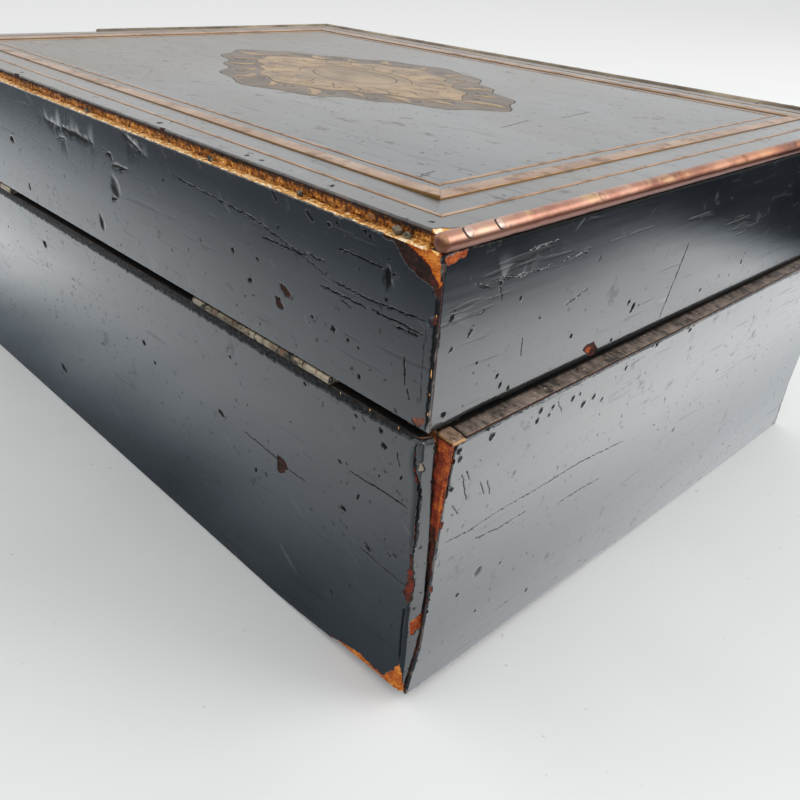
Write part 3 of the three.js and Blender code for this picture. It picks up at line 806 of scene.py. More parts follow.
def polish_finish(name, haze, rough, grain_way, out, wave, streak, **constants):
    """Black polish. Haze is how grey and rubbed it is, and hazed polish has brown dust on it. Its
    streaks run along the grain, and its scratches lie across them on the side that faces out."""

    def paint(place):
        cloud = place.noise(15, 4, 0.6)
        grain = place.stretched(*grain_way)
        streaks = grain.noise(34, 4, 0.7, 0.5)
        fine = grain.noise(240, 3, 0.7)
        hairs = grain.noise(430, 2, 0.6).between(0.62, 0.72)
        scuffs = place.noise(120, 4, 0.7).between(0.6, 0.72)
        pits = place.noise(560, 2, 0.5).between(0.69, 0.74)
        turned = {"Vector": place, "Axis": out, "Angle": SCRATCH_SLANT}
        slant = place.node("VectorRotate", {"rotation_type": "AXIS_ANGLE"}, turned)
        scratches = slant.stretched(*grain_way).noise(420, 2, 0.5).between(0.69, 0.74)
        ripple = place.noise(34, 2, 0.4)
        edge = place.mark("edge")
        # The faint blue in these colours is painted reflection of the window's light.
        low = (0.006 + haze * 0.05, 0.008 + haze * 0.052, 0.011 + haze * 0.054)
        high = (0.014 + haze * 0.17, 0.0175 + haze * 0.172, 0.0225 + haze * 0.172)
        black = (cloud * 0.55 + streaks * 0.45).between(0.38, 0.62).tint(low, high)
        black = (scuffs * 0.4).tint(black, (0.05, 0.053, 0.058))
        black = (hairs * 0.55).tint(black, (0.003, 0.003, 0.004))
        black = (scratches * 0.3).tint(black, (0.13, 0.135, 0.14))
        worn = edge * place.noise(210, 3, 0.7).between(0.5, 0.62)
        black = (worn * 0.8).tint(black, (0.14, 0.11, 0.085))
        gloss = cloud * 0.12 + fine * 0.12 + scuffs * 0.14 + worn * 0.2
        gloss = gloss + hairs * 0.15 + scratches * 0.14 + rough
        height = ripple * wave + streaks * streak + fine * 0.05
        height = height - hairs * 0.1 - pits * 0.35 - scratches * 0.07
        return {
            "Base Color": (pits * 0.8).tint(black, (0.003, 0.003, 0.003)),
            "Roughness": gloss,
            "Coat Weight": 1 - (scuffs * 0.5).most(pits),
            "Normal": (height, 0.3),
        }

    def bare(place):
        dark, raw, tone = (place.mark(key) for key in ("dark", "raw", "tone"))
        fibres = place.stretched(*grain_way).noise(330, 4, 0.75)
        clumps = place.noise(300, 3, 0.7)
        speck = place.noise(620, 3, 0.7)
        wood = (tone + (fibres - 0.5) * 0.6 + (clumps - 0.5) * 0.5).ramp(
            (0, (0.008, 0.004, 0.003)), (0.2, (0.05, 0.014, 0.008)), (0.4, (0.19, 0.02, 0.004)),
            (0.58, (0.42, 0.095, 0.009)), (0.76, (0.72, 0.26, 0.035)), (0.92, (1.0, 0.6, 0.17)),
            (1, (1.0, 0.86, 0.66)))
        share = raw.between(0.25, 0.6)
        scar = dark.between(0.1, 0.9)
        color = share.tint(scar.tint(DUST, SCAR_BLACK) if haze else SCAR_BLACK, wood)
        share = share.most(scar)
        if haze:
            dust = place.axis(0).between(-0.06, 0.13) * 0.32 + place.noise(15, 4, 0.6).between(0.3, 0.7) * 0.2
            share = share.most(dust)
        return share, {
            "Base Color": color,
            "Roughness": speck * 0.25 + 0.5,
            "Normal": (fibres * 0.5 + speck * 0.4 + clumps * 0.4, 0.3),
        }

    return finish(name, paint, bare, **constants)


polish = {
    "x": polish_finish("black_polish_long", 0, 0.1, ALONG_X, (0, 1, 0), 0.4, 0.3, **LACQUER),
    "y": polish_finish("black_polish_short", 0, 0.1, ALONG_Y, (1, 0, 0), 0.5, 0.6, **LACQUER),
}

case_low, case_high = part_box("base_front_veneer")
HALF_LENGTH = case_high.x / MM
HALF_WIDTH = -case_low.y / MM
RIM = case_high.z / MM
END_OF_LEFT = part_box("base_left_veneer")[1].y / MM
LEAN = math.asin(-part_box("base_left_veneer")[0].x / MM / RIM - HALF_LENGTH / RIM)
X, Y, Z = Vector((1, 0, 0)), Vector((0, 1, 0)), Vector((0, 0, 1))
back_face = Face(Y * HALF_WIDTH, X, Z, Y)
left_face = Face(X * -HALF_LENGTH, Y, Z, -X)
ARC_DEPTH = NEAR_ARRIS * (1 - math.cos(NEAR_BEND))
ARC_REACH = NEAR_ARRIS * math.sin(NEAR_BEND)
strip_run = (STRIP_REACH - ARC_DEPTH) / math.sin(NEAR_BEND)
ARC_START = ARC_REACH + strip_run * math.cos(NEAR_BEND) - HALF_LENGTH
ARC_END = Vector((ARC_START - ARC_REACH, HALF_WIDTH - ARC_DEPTH, 0))
turned_back = Face(Y * HALF_WIDTH, X, Z, Y, turn=(ARC_START, NEAR_ARRIS, NEAR_BEND))
leaning_face = Face(X * -HALF_LENGTH, Y, (-math.sin(LEAN), 0, math.cos(LEAN)),
                    (-math.cos(LEAN), 0, -math.sin(LEAN)))


def round_corner(pixel):
    """A spot on the back sheet where it has turned the near arris."""
    found = seen_on(pixel, ARC_END, Vector((-math.sin(NEAR_BEND), math.cos(NEAR_BEND), 0)))
    return ARC_START - NEAR_ARRIS * NEAR_BEND - (ARC_END.y - found.y) / math.sin(NEAR_BEND), found.z


def spots(face, pixels):
    """The places on a face that the photograph shows at some pixels."""
    return [face.spot(p) for p in pixels]


def rectangle(low, high):
    return [low, (high[0], low[1]), high, (low[0], high[1])]


def rectangle_round(places):
    """A rectangle a little larger than some places take up."""
    return rectangle(tuple(np.min(places, axis=0) - 1), tuple(np.max(places, axis=0) + 1))


def seam_chamfer(edge):
    """Takes the arris off a back sheet at the seam, where lid and base turn past each other."""
    return lambda spots: -np.clip(SEAM_CHAMFER - np.abs(spots[:, 1] - edge), 0, None)


SHEET_END = round_corner((437.6, 439.2))[0]
BASE_BACK_CRACKS = (
    ((359, 547), (372, 558), (390, 574), (406, 587)), ((363, 541), (373, 552)), ((338, 506), (347, 512)),
    ((348, 470), (366, 481), (385, 493), (409, 509)), ((218, 411), (226, 419)), ((283, 466), (306, 482)),
    ((243, 431), (262, 446), (280, 461)), ((397, 452), (399, 466)),
)
BASE_BACK_DENTS = (
    ((64, 368), 2.2, 1.3), ((45, 244), 1.6, 1.1), ((221, 413), 1.4, 0.7), ((343, 508), 1.0, 0.5),
    ((356, 416), 0.6, 0.4), ((381, 431), 0.7, 0.6), ((384, 446), 1.0, 0.7), ((340, 462), 0.7, 0.45),
    ((331, 592), 0.6, 0.5), ((379, 476), 0.35, 0.3), ((396, 557), 0.3, 0.25), ((390, 556), 0.3, 0.25),
    ((368, 549), 1.0, 0.4), ((230, 357), 0.5, 0.4), ((155, 363), 0.7, 0.6), ((144, 343), 1.0, 0.8),
    ((256, 470), 0.5, 0.9), ((401, 478), 0.3, 0.6), ((358, 497), 0.3, 0.9), ((305, 384), 0.6, 0.4),
)
BASE_BROWN_CHIP = ((277, 455), (285, 461), (288, 470), (282, 474), (277, 470))
CORNER_LOSS = ((330, 636), (346, 645), (360, 654), (373, 667), (382, 675), (392, 671), (399, 663))
ARRIS_CHIP = ((409, 555), (411.5, 556), (411, 575), (412, 590), (409, 605), (406.5, 606), (405, 598),
              (402, 592), (406, 586), (408, 572))
DIAMOND_CHIP = ((410, 622), (425, 611), (425, 622), (413, 634), (409, 635))
PINK_TOP = ((433, 436), (439, 434), (439, 447), (435, 446), (435, 440))
PINK_SPOT = ((418, 464), (423, 463), (425, 468), (424, 472), (419, 471))
# Bright specks on the rim band: painted highlights in a pale wood tone.
RIM_PAINTED_GLINTS = ((338, 394), (367, 411), (396, 429))
SPLINTERED = ((415, 445), (414, 470), (417, 484), (418, 500), (415, 520), (414, 540), (412, 553))
STRIP_EDGE = ((418, 640), (424, 622), (425.5, 608), (427.5, 580), (430.5, 540), (432.5, 500), (434.5, 468))
SPLINTERED_FOOT = ((404, 607), (401, 630), (399, 660))

marks = [Crack(spots(back_face, path)) for path in BASE_BACK_CRACKS]
marks += [Crack(spots(back_face, path), 0.6, 0.25) for path in (SPLINTERED, SPLINTERED_FOOT)]
marks.append(Crack([(x + 0.6, z) for x, z in spots(back_face, SPLINTERED)], 1.8, 0.04, 0.42))
marks += [Dent(back_face.spot(at), long, short, 0.4) for at, long, short in BASE_BACK_DENTS]
worn_line = random.Random(3)
for x, z in spots(back_face, [*stepped(SPLINTERED, 3.8)[:29], SPLINTERED[-1]]):
    at = (x + worn_line.uniform(-0.5, 0.3), z)
    tone = worn_line.choice((None, None, None, 0.3))
    marks.append(Dent(at, worn_line.uniform(0.3, 0.8), worn_line.uniform(0.12, 0.25), math.pi / 2, 0.2, tone))
foot = [(SHEET_END + 3.2, 9), (SHEET_END + 2.2, 2), (-146, 1), (-124, 0)]
worn_rim = [(HALF_LENGTH + 1, RIM - 1.9), (-105, RIM - 1.9), (-130, RIM - 1.6), (-142, RIM - 1),
            (-147, RIM - 0.3), (-147, RIM + 1), (HALF_LENGTH + 1, RIM + 1)]
marks += [
    Chip(worn_rim, 0.35, cover=0.72),
    Chip(spots(back_face, BASE_BROWN_CHIP), 0.4, 0.12),
    Chip(spots(back_face, CORNER_LOSS) + foot, 0.75, 0.62),
    Chip([round_corner(p) for p in DIAMOND_CHIP], 0.5, 0.48),
    Chip([round_corner(p) for p in PINK_TOP], 0.2, 0.66),
    Chip([round_corner(p) for p in PINK_SPOT], 0.15, 0.93, 0.43),
    Chip(spots(back_face, ARRIS_CHIP), 0.4, 0.24),
    *(Dent(back_face.spot(at), 0.3, 0.07, 0.5, 0.05, 0.9) for at in RIM_PAINTED_GLINTS),
]
underside = [(x, z + 0.2) for x, z in reversed(LOST_UNDER_BACK) if x > -149]
back_outline = [(HALF_LENGTH, 0), *underside, (SHEET_END + 2.4, 3.6), (SHEET_END + 1.7, 7),
                (SHEET_END + 0.8, 14), *(round_corner(p) for p in STRIP_EDGE), (SHEET_END, RIM),
                (HALF_LENGTH, RIM)]
sheet("base_back_sheet", turned_back, back_outline, polish["x"], "base", marks, wear=0.4, ragged=0.08,
      side=(1, 0.12), node="base_back_veneer", slot="black_veneer", shape=seam_chamfer(RIM))

BASE_LEFT_CRACKS = (
    ((437, 547), (470, 530), (500, 510), (540, 487), (580, 462), (625, 440)),
    ((470, 541), (500, 527), (527, 510)), ((555, 505), (580, 489), (600, 478)),
    ((462, 474), (466, 500)), ((466, 470), (470, 480)), ((480, 481), (484, 494)),
    ((487, 480), (490, 494)), ((452, 505), (458, 515)), ((558, 401), (562, 412)),
)
BASE_LEFT_DENTS = (
    ((492, 436), 1.1, 0.9), ((459, 451), 1.0, 0.8), ((460, 459), 0.9, 0.6), ((500, 419), 0.7, 0.5),
    ((541, 410), 0.9, 0.7), ((553, 407), 0.8, 0.6), ((537, 421), 0.9, 0.6), ((549, 415), 0.6, 0.5),
    ((573, 398), 0.9, 0.6), ((583, 404), 1.1, 0.8), ((594, 396), 0.9, 0.6), ((602, 399), 0.7, 0.4),
    ((580, 394), 0.5, 0.4), ((626, 368), 0.7, 0.5), ((657, 345), 0.9, 0.6), ((690, 330), 0.9, 0.8),
    ((478, 571), 1.8, 1.2), ((457, 595), 0.8, 0.6), ((475, 611), 0.6, 0.4), ((500, 563), 0.5, 0.4),
    ((526, 590), 0.7, 0.5), ((451, 489), 0.7, 0.9), ((446, 478), 0.5, 0.6), ((673, 430), 0.8, 0.5),
)
BROKEN_EDGE = ((426, 614), (428.5, 602), (431, 586), (434, 566), (437, 550), (439, 536), (442, 518),
               (444, 505), (446, 494), (449, 487), (450, 478), (453, 464), (455, 452), (456, 444))

marks = [Crack(spots(leaning_face, path), 0.28, 0.2, 0.55) for path in BASE_LEFT_CRACKS]
marks += [Dent(leaning_face.spot(at), long, short, 2.2, dark=0.5) for at, long, short in BASE_LEFT_DENTS]
broken_edge = [(min(y, END_OF_LEFT), min(z, RIM)) for y, z in spots(leaning_face, BROKEN_EDGE)]
chip_maker = random.Random(11)
broken_places = stepped(broken_edge, 0.5)
for _ in range(26):
    y, z = chip_maker.choice(broken_places)
    size = 0.2 + 1.3 * chip_maker.random() ** 3
    tone = chip_maker.choice((None, 0.12, 0.12, 0.3))
    marks.append(Dent((y - chip_maker.uniform(-0.1, 0.5), z), size, size * chip_maker.uniform(0.25, 0.6),
                      chip_maker.uniform(1.1, 2), 0.3, tone))
under_left = [(y, z) for y, z in LOST_UNDER_LEFT if y < END_OF_LEFT]
left_outline = [(-END_OF_LEFT, 0), *reversed(under_left), (109, 4), (108.4, 8), (107.1, 14.5), (106.1, 20),
                *broken_edge, (broken_edge[-1][0], RIM), (-END_OF_LEFT, RIM)]
sheet("base_left_sheet", leaning_face, left_outline, polish["y"], "base", marks,
      side=(1, 0.16), node="base_left_veneer", slot="black_veneer")

# The end of the sprung left board shows as a wedge between the two sheets: raw wood, deep red by the corner
# and darker lower down, orange further out. A tan scrap of the lap lies on its rim.
WOOD_THICK = 0.6
WEDGE_SLOPE = 0.031
WEDGE_LEAN = math.atan(WEDGE_SLOPE)
WEDGE_FOOT = END_OF_LEFT + 0.15 - RIM * math.tan(WEDGE_LEAN)
WEDGE_LOW = 24
WEDGE_LAP = 0.9
SHARD_LEVEL = 45
SHARD_STEP = 65
SHARD_SEAT = 0.35
BARE_END = {"wear": 0.15, "fine": 0.8, "step": 0.8, "slot": "pine", "rough": (0.12, 3, 1.2)}
LAP_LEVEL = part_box("base_left_wall")[1].z / MM + 0.2
RIM_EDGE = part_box("base_left_veneer")[0].x / MM + 0.1
LAP_SCRAP = ((440, 427), (450, 426), (459, 432), (467, 438.5), (461, 442), (455, 444.5), (447, 440),
             (439, 434))
LAP_JOINT = ((450.5, 425.5), (453, 425), (470, 438), (467.5, 440))

# Painted shade darkens the scrap where the lid overhangs it.
pale_rim_shaded_wood = carcass_finish("softwood_scraped_and_shaded", (0.44, 0.28, 0.19), (0.03, 0.014, 0.008), 0, 0, 0.1487)
wedge_face = Face(Y * WEDGE_FOOT, -X, (0, math.sin(WEDGE_LEAN), math.cos(WEDGE_LEAN)),
                  (0, math.cos(WEDGE_LEAN), -math.sin(WEDGE_LEAN)))
lean_top = RIM * math.tan(LEAN)
wedge_outline = [(HALF_LENGTH - WEDGE_LAP, WEDGE_LOW),
                 (HALF_LENGTH + WEDGE_LOW * math.tan(LEAN) - 0.1, WEDGE_LOW),
                 (HALF_LENGTH + lean_top - 0.15, RIM + 0.2), (HALF_LENGTH - WEDGE_LAP, RIM + 0.2)]
blotches = random.Random(17)
whole_end = rectangle((HALF_LENGTH - 1.2, WEDGE_LOW - 2), (HALF_LENGTH + 6, RIM + 2))
marks = [Chip(whole_end, 0.1, 0.4)]
for _ in range(44):
    at = (HALF_LENGTH + blotches.uniform(-0.5, 3.8), blotches.uniform(WEDGE_LOW, RIM))
    tone = 0.27 + 0.09 * (at[0] - HALF_LENGTH) - max(0, 58 - at[1]) * 0.016 + blotches.uniform(-0.08, 0.1)
    marks.append(Dent(at, blotches.uniform(1, 4), blotches.uniform(0.3, 0.9), math.pi / 2, 0.15, tone))
sheet("left_board_end", wedge_face, wedge_outline, polish["y"], "base", marks, thick=WOOD_THICK,
      side=(1, -0.2), **BARE_END)
shard_face = Face(X * -(HALF_LENGTH - SHARD_SEAT), leaning_face.along, leaning_face.up, leaning_face.out)
torn_edge = [(y - 1.0, z) for y, z in broken_edge[3:]]
shard_outline = [*torn_edge, (END_OF_LEFT + 0.1, RIM), (END_OF_LEFT + 0.1, SHARD_STEP),
                 (WEDGE_FOOT + SHARD_LEVEL * WEDGE_SLOPE, torn_edge[0][1])]
marks = [Chip(rectangle_round(shard_outline), 0.1, 0.5)]
sheet("left_board_shard", shard_face, shard_outline, polish["y"], "base", marks, thick=0.55,
      side=(1, 0.5), **BARE_END)
lap_face = Face(Z * LAP_LEVEL, X, Y, Z)
scrap = [(max(x, RIM_EDGE), y) for x, y in spots(lap_face, LAP_SCRAP)]
sheet("lap_scrap", lap_face, scrap, pale_rim_shaded_wood, "base", thick=0.8, wear=0.15, fine=0.6, step=0.7,
      slot="pine", rough=(0.12, 2, 0.6))
joint = [(max(x, RIM_EDGE), y) for x, y in spots(lap_face, LAP_JOINT)]
marks = [Chip(rectangle_round(joint), 0.1, -0.2)]
sheet("lap_joint", lap_face, joint, polish["y"], "base", marks, thick=0.5, wear=0.1, fine=0.6,
      step=0.7, side=(1, 0), slot="pine")

# The sides that the photograph doesn't show are veneered and polished alike, with wear of the
# same kind. The front has a keyhole. Narrow strips cover the ends of the front and back boards.
KEY_HEIGHT = RIM - 13
KEYHOLE_RADIUS = 1.9
KEYHOLE_SLOT = 1.5
KEYHOLE_LENGTH = 5


def scattered(seed, low, high, dents, cracks):
    """Bruises and hairline cracks here and there between two corners of a face."""
    made = []
    hand = random.Random(seed)
    for _ in range(dents):
        at = [hand.uniform(a + 2, b - 2) for a, b in zip(low, high)]
        size = hand.uniform(0.3, 1.2)
        made.append(Dent(at, size, size * hand.uniform(0.4, 0.9), hand.uniform(0, 3), 0.3))
    for _ in range(cracks):
        at = [hand.uniform(a, a + (b - a) * 0.8) for a, b in zip(low, high)]
        run = hand.uniform(12, 60)
        fall = run * hand.uniform(-0.05, 0.05)
        end = (min(at[0] + run, high[0] - 1), min(max(at[1] + fall, low[1] + 1), high[1] - 1))
        made.append(Crack([at, end], 0.22, 0.25))
    for _ in range(dents // 2):
        at = (hand.uniform(low[0], high[0]), hand.choice((low[1] + 0.2, high[1] - 0.2)))
        made.append(Dent(at, hand.uniform(0.4, 2), hand.uniform(0.2, 0.5), 0, 0.4, 0.08))
    return made


def keyhole():
    """A round hole with a slot below it."""
    half = KEYHOLE_SLOT / 2
    start = math.asin(half / KEYHOLE_RADIUS)
    turn = 2 * math.pi - 2 * start
    arc = [start - math.pi / 2 + turn * k / 20 for k in range(21)]
    round_part = [(KEYHOLE_RADIUS * math.cos(a), KEY_HEIGHT + KEYHOLE_RADIUS * math.sin(a)) for a in arc]
    return [*round_part, (-half, KEY_HEIGHT - KEYHOLE_LENGTH), (half, KEY_HEIGHT - KEYHOLE_LENGTH)]


front_face = Face(Y * -HALF_WIDTH, X, Z, -Y)
right_face = Face(X * HALF_LENGTH, Y, Z, X)
low, high = (-HALF_LENGTH, 0), (HALF_LENGTH, RIM)
marks = scattered(21, low, high, 22, 6)
sheet("base_front_sheet", front_face, rectangle(low, high), polish["x"], "base", marks, holes=[keyhole()],
      node="base_front_veneer", slot="black_veneer")
low, high = (-END_OF_LEFT, 0), (END_OF_LEFT, RIM)
marks = scattered(22, low, high, 18, 5)
sheet("base_right_sheet", right_face, rectangle(low, high), polish["y"], "base", marks,
      node="base_right_veneer", slot="black_veneer")

corners = (("front_left", left_face, -1), ("front_right", right_face, -1), ("back_right", right_face, 1))
for name, face, end in corners:
    near, far = sorted((end * (END_OF_LEFT + 0.1), end * (HALF_WIDTH - VENEER)))
    sheet(f"base_{name}_lap", face, rectangle((near, 0), (far, RIM)), polish["y"], "base", wear=0.2,
          side=(1, 0.12), slot="black_veneer")

# The base's lining is crimson velvet on card, laid on the bottom board. Its pile is rubbed and
# it has cockled a little with age.
COCKLE = 0.25
LINING_FINE = 3.5


def velvet_paint(place):
    pile = place.noise(1300, 3, 0.7)
    rubbed = place.noise(22, 4, 0.6)
    brushed = place.stretched(1, 0.4, 1).noise(75, 3)
    color = rubbed.between(0.35, 0.7).tint((0.16, 0.008, 0.018), (0.28, 0.035, 0.04))
    color = (brushed.between(0.4, 0.65) * 0.5).tint(color, (0.07, 0.004, 0.009))
    return {
        "Base Color": (pile.between(0.4, 0.7) * 0.4).tint(color, (0.36, 0.07, 0.075)),
        "Roughness": pile * 0.1 + 0.86,
        "Normal": (pile * 0.5 + brushed * 0.6, 0.35),
    }


velvet = finish("velvet", velvet_paint, Sheen_Weight=0.4, Sheen_Roughness=0.4)


def cockled(spots):
    """How far the card has risen and sunk, never past where it lay when it was new."""
    return np.array([COCKLE * noise.fractal(Vector((u / 40, v / 40, 2)), 1, 2, 2) - COCKLE for u, v in spots])


def lining(node_name, body, height, out):
    """A sheet of velvet on card, as large as its node."""
    low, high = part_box(node_name)
    size = (high - low) / MM
    corner = (low.x / MM, low.y / MM)
    outline = rectangle(corner, (corner[0] + size.x, corner[1] + size.y))
    piece = sheet(node_name + "_velvet", Face(Z * height, X, Y, out), outline, velvet, body,
                  thick=size.z, wear=0.7, fine=LINING_FINE, side=(0, 0), node=node_name, slot="lining",
                  shape=cockled)


lining("base_lining", "base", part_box("base_lining")[1].z / MM, Z)

# Two long butt hinges of pale cast brass lie in the back seam, gone brown in the joints, each
# with an iron pin and flat-headed screws that hold its leaves to the rims.
SCREW_HEAD = 0.75
HEAD_SIDES = 24


def hinge_brass_paint(place):
    cloud = place.noise(70, 4, 0.65)
    specks = place.noise(330, 3, 0.7)
    length = place.stretched(1, 0.2, 0.2).noise(190, 3, 0.6)
    color = cloud.ramp((0.36, (0.05, 0.04, 0.025)), (0.47, (0.2, 0.165, 0.115)), (0.62, (0.4, 0.34, 0.25)))
    stain = length.between(0.5, 0.62)
    color = (stain * 0.85).tint(color, (0.12, 0.055, 0.02))
    color = specks.between(0.52, 0.62).tint(color, (0.02, 0.019, 0.014))
    return {
        "Base Color": color,
        "Roughness": cloud * 0.2 + stain * 0.15 + 0.28,
        "Metallic": 0.75 - stain * 0.6,
        "Normal": (cloud * 0.4 + specks * 0.35, 0.16),
    }


def iron_paint(place):
    pits = place.noise(480, 4, 0.7)
    rust = place.noise(90, 4, 0.65).between(0.5, 0.62)
    color = pits.between(0.35, 0.65).tint((0.12, 0.11, 0.105), (0.3, 0.29, 0.28))
    return {
        "Base Color": (rust * 0.8).tint(color, (0.16, 0.055, 0.025)),
        "Roughness": rust * 0.35 + 0.32,
        "Metallic": 0.95 - rust * 0.8,
        "Normal": (pits, 0.12),
    }


hinge_brass = finish("hinge_brass", hinge_brass_paint)
iron = finish("old_iron", iron_paint)


def screw_head(node_name, face, material, slot, turn):
    """A flat head with a slot cut across it. Its shank is out of sight in the wood."""
    low, high = (Vector(v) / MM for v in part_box(node_name))
    middle = (low + high) / 2 - face.corner
    center = Vector((middle.dot(face.along), middle.dot(face.up)))
    radius = max((high - low).dot(face.along), (high - low).dot(face.up)) / 2
    angles = (2 * math.pi * k / HEAD_SIDES for k in range(HEAD_SIDES))
    ring = [tuple(center + Vector((math.cos(a), math.sin(a))) * radius) for a in angles]
    reach = Vector((math.cos(turn), math.sin(turn))) * radius * 0.96
    slot_cut = Crack([center - reach, center, center + reach], 0.5, 0.45)
    body = body_of(frame["nodes"][node_name])[0]
    sheet(node_name + "_head", face, ring, material, body, [slot_cut], thick=SCREW_HEAD, wear=0.15, fine=0.6,
          step=0.5, ragged=0, side=(0, 0), node=node_name, slot=slot)


for side in ("left", "right"):
    for leaf, facing in (("base", 1), ("lid", -1)):
        eased(f"hinge_{side}_{leaf}_leaf", hinge_brass, 0.18)
        for count in (1, 2):
            screw = f"hinge_{side}_{leaf}_screw_{count}"
            leaf_face = Face(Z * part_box(screw)[1 if facing > 0 else 0].z / MM, X, Y, Z * facing)
            screw_head(screw, leaf_face, hinge_brass, "hinge_brass", 0.5 + 1.3 * count)
    eased(f"hinge_{side}_pin", iron, 0.1)

# The box lock: a brass case let into the front wall, an iron bolt with two tongues that slides
# in it, a link plate with two staples under the lid's front edge, and a plate round the keyhole.
def brass_paint(place):
    cloud = place.noise(48, 4, 0.6)
    fine = place.noise(380, 3, 0.7)
    scratches = place.stretched(1, 9, 3).noise(60, 3, 0.7)
    color = cloud.ramp((0.3, (0.3, 0.16, 0.06)), (0.48, (0.6, 0.4, 0.18)), (0.68, (0.74, 0.55, 0.28)))
    spots_of_green = place.noise(150, 3, 0.6).between(0.66, 0.74)
    return {
        "Base Color": (spots_of_green * 0.7).tint(color, (0.1, 0.12, 0.07)),
        "Roughness": cloud * 0.15 + scratches * 0.16 + 0.16,
        "Metallic": 0.95 - spots_of_green * 0.8,
        "Normal": (fine * 0.3 + scratches * 0.5, 0.08),
    }


lock_brass = finish("lock_brass", brass_paint)
for name in ("lock_case", "link_plate", "escutcheon"):
    eased(name, lock_brass, 0.15)
eased("lock_bolt", iron, 0.15)
inside_front = Face(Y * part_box("lock_screw_1")[1].y / MM, X, Z, Y)
for count in (1, 2):
    screw_head(f"lock_screw_{count}", inside_front, lock_brass, "brass", 0.4 + count)

# The lid's veneer is the base's, cut from it after the box was made up. Its back sheet has split
# along the grain, and its near upper corner is torn off down to the wood.
LID_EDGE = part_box("lid_back_veneer")[0].z / MM
LID_FRONT_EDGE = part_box("lid_front_veneer")[0].z / MM
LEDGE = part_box("lid_back_veneer")[1].z / MM
SIDE_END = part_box("lid_left_veneer")[1].y / MM
LID_ARRIS = 0.5
WORN_ARRIS = -149.72
ARRIS_FLECKS = ((107.5, 0.3), (95.4, 0.85), (90.7, 0.25), (86.2, 0.35))
LID_BACK_CRACKS = (
    ((168, 172), (197, 189), (215, 198), (256, 220), (296, 251), (331, 279)),
    ((331, 279), (352, 291), (372, 301), (400, 312), (427, 322)),
    ((320, 285), (345, 297), (368, 309)), ((372, 309), (380, 314)), ((376, 313), (400, 323), (424, 336)),
    ((378, 303), (382, 312)), ((396, 326), (420, 338)), ((337, 248), (362, 258), (384, 269)),
    ((304, 252), (325, 262)), ((262, 237), (285, 247), (308, 257)), ((340, 299), (352, 309)),
    ((404, 355), (405, 385)), ((407, 388), (409, 400)), ((392, 277), (396, 274)),
)
LID_BACK_SLASHES = (((271, 190), (277, 203)), ((305, 210), (313, 223)))
LID_BACK_GOUGES = (
    ((40, 117), (72, 134), 0.5, 0.6), ((60, 127), (92, 144), 0.9, 0.85), ((120, 132), (145, 157), 0.6, 0.7),
    ((111, 166), (122, 167), 0.5, 0.8), ((119, 169), (128, 170), 0.5, 0.8), ((58, 138), (66, 139), 0.4, 0.7),
    ((112, 199), (118, 199), 0.5, 0.8), ((112, 178), (119, 197), 2.4, 0.55),
    ((100, 214), (104, 230), 1.1, 0.6),
)
LID_BACK_DENTS = (
    ((388, 277), 2.6, 0.85, 1.5), ((365, 232), 0.7, 0.5, 0.5), ((370, 237), 0.6, 0.5, 0.5),
    ((337, 223), 0.5, 0.4, 0), ((329, 225), 0.8, 0.5, 0), ((257, 259), 0.7, 0.4, 0.5),
    ((233, 250), 0.8, 0.5, 1), ((109, 155), 1.4, 0.7, 0.3), ((12, 139), 1.5, 1.2, 0),
    ((333, 329), 0.9, 0.7, 1), ((348, 340), 0.5, 0.4, 0), ((359, 377), 0.5, 0.7, 0),
    ((278, 227), 0.5, 0.4, 0), ((163, 180), 0.5, 0.6, 0), ((30, 187), 0.5, 1.4, 0),
    ((386, 300), 0.5, 0.5, 0), ((358, 348), 0.4, 0.3, 0), ((250, 280), 0.6, 1.0, 1.2),
    ((312, 317), 0.5, 0.4, 0),
)
LID_BROWN_CHIPS = (
    ((279, 283), (286, 287), (291, 296), (285, 297)), ((275, 295), (280, 298), (284, 309), (278, 308)),
)
CORNER_SCAR = ((380, 235), (396, 244), (404, 262), (414, 274), (424, 281), (433, 289), (437, 300),
               (440, 300), (440, 262), (420, 240), (396, 232))
CORNER_WOOD = ((401, 240), (412, 250), (421, 258), (428, 268), (434, 280), (438, 290), (440, 272),
               (440, 252), (420, 240))
CORNER_GOLD = ((403, 236), (412, 242), (424, 248), (435, 257), (440, 252), (425, 240), (410, 234))
FOOT_PATCH = ((409, 417), (424, 416), (426, 425), (417, 427))
ARRIS_PATCH = ((429, 317), (436, 316), (436, 326), (430, 327))


def lid_back_shape(spots):
    """Rounds the sheet over towards the near arris, and takes its lower edge off."""
    short = np.clip(LID_ARRIS - np.abs(spots[:, 0] + HALF_LENGTH), 0, LID_ARRIS)
    return np.sqrt(LID_ARRIS**2 - short**2) - LID_ARRIS + seam_chamfer(LID_EDGE)(spots)


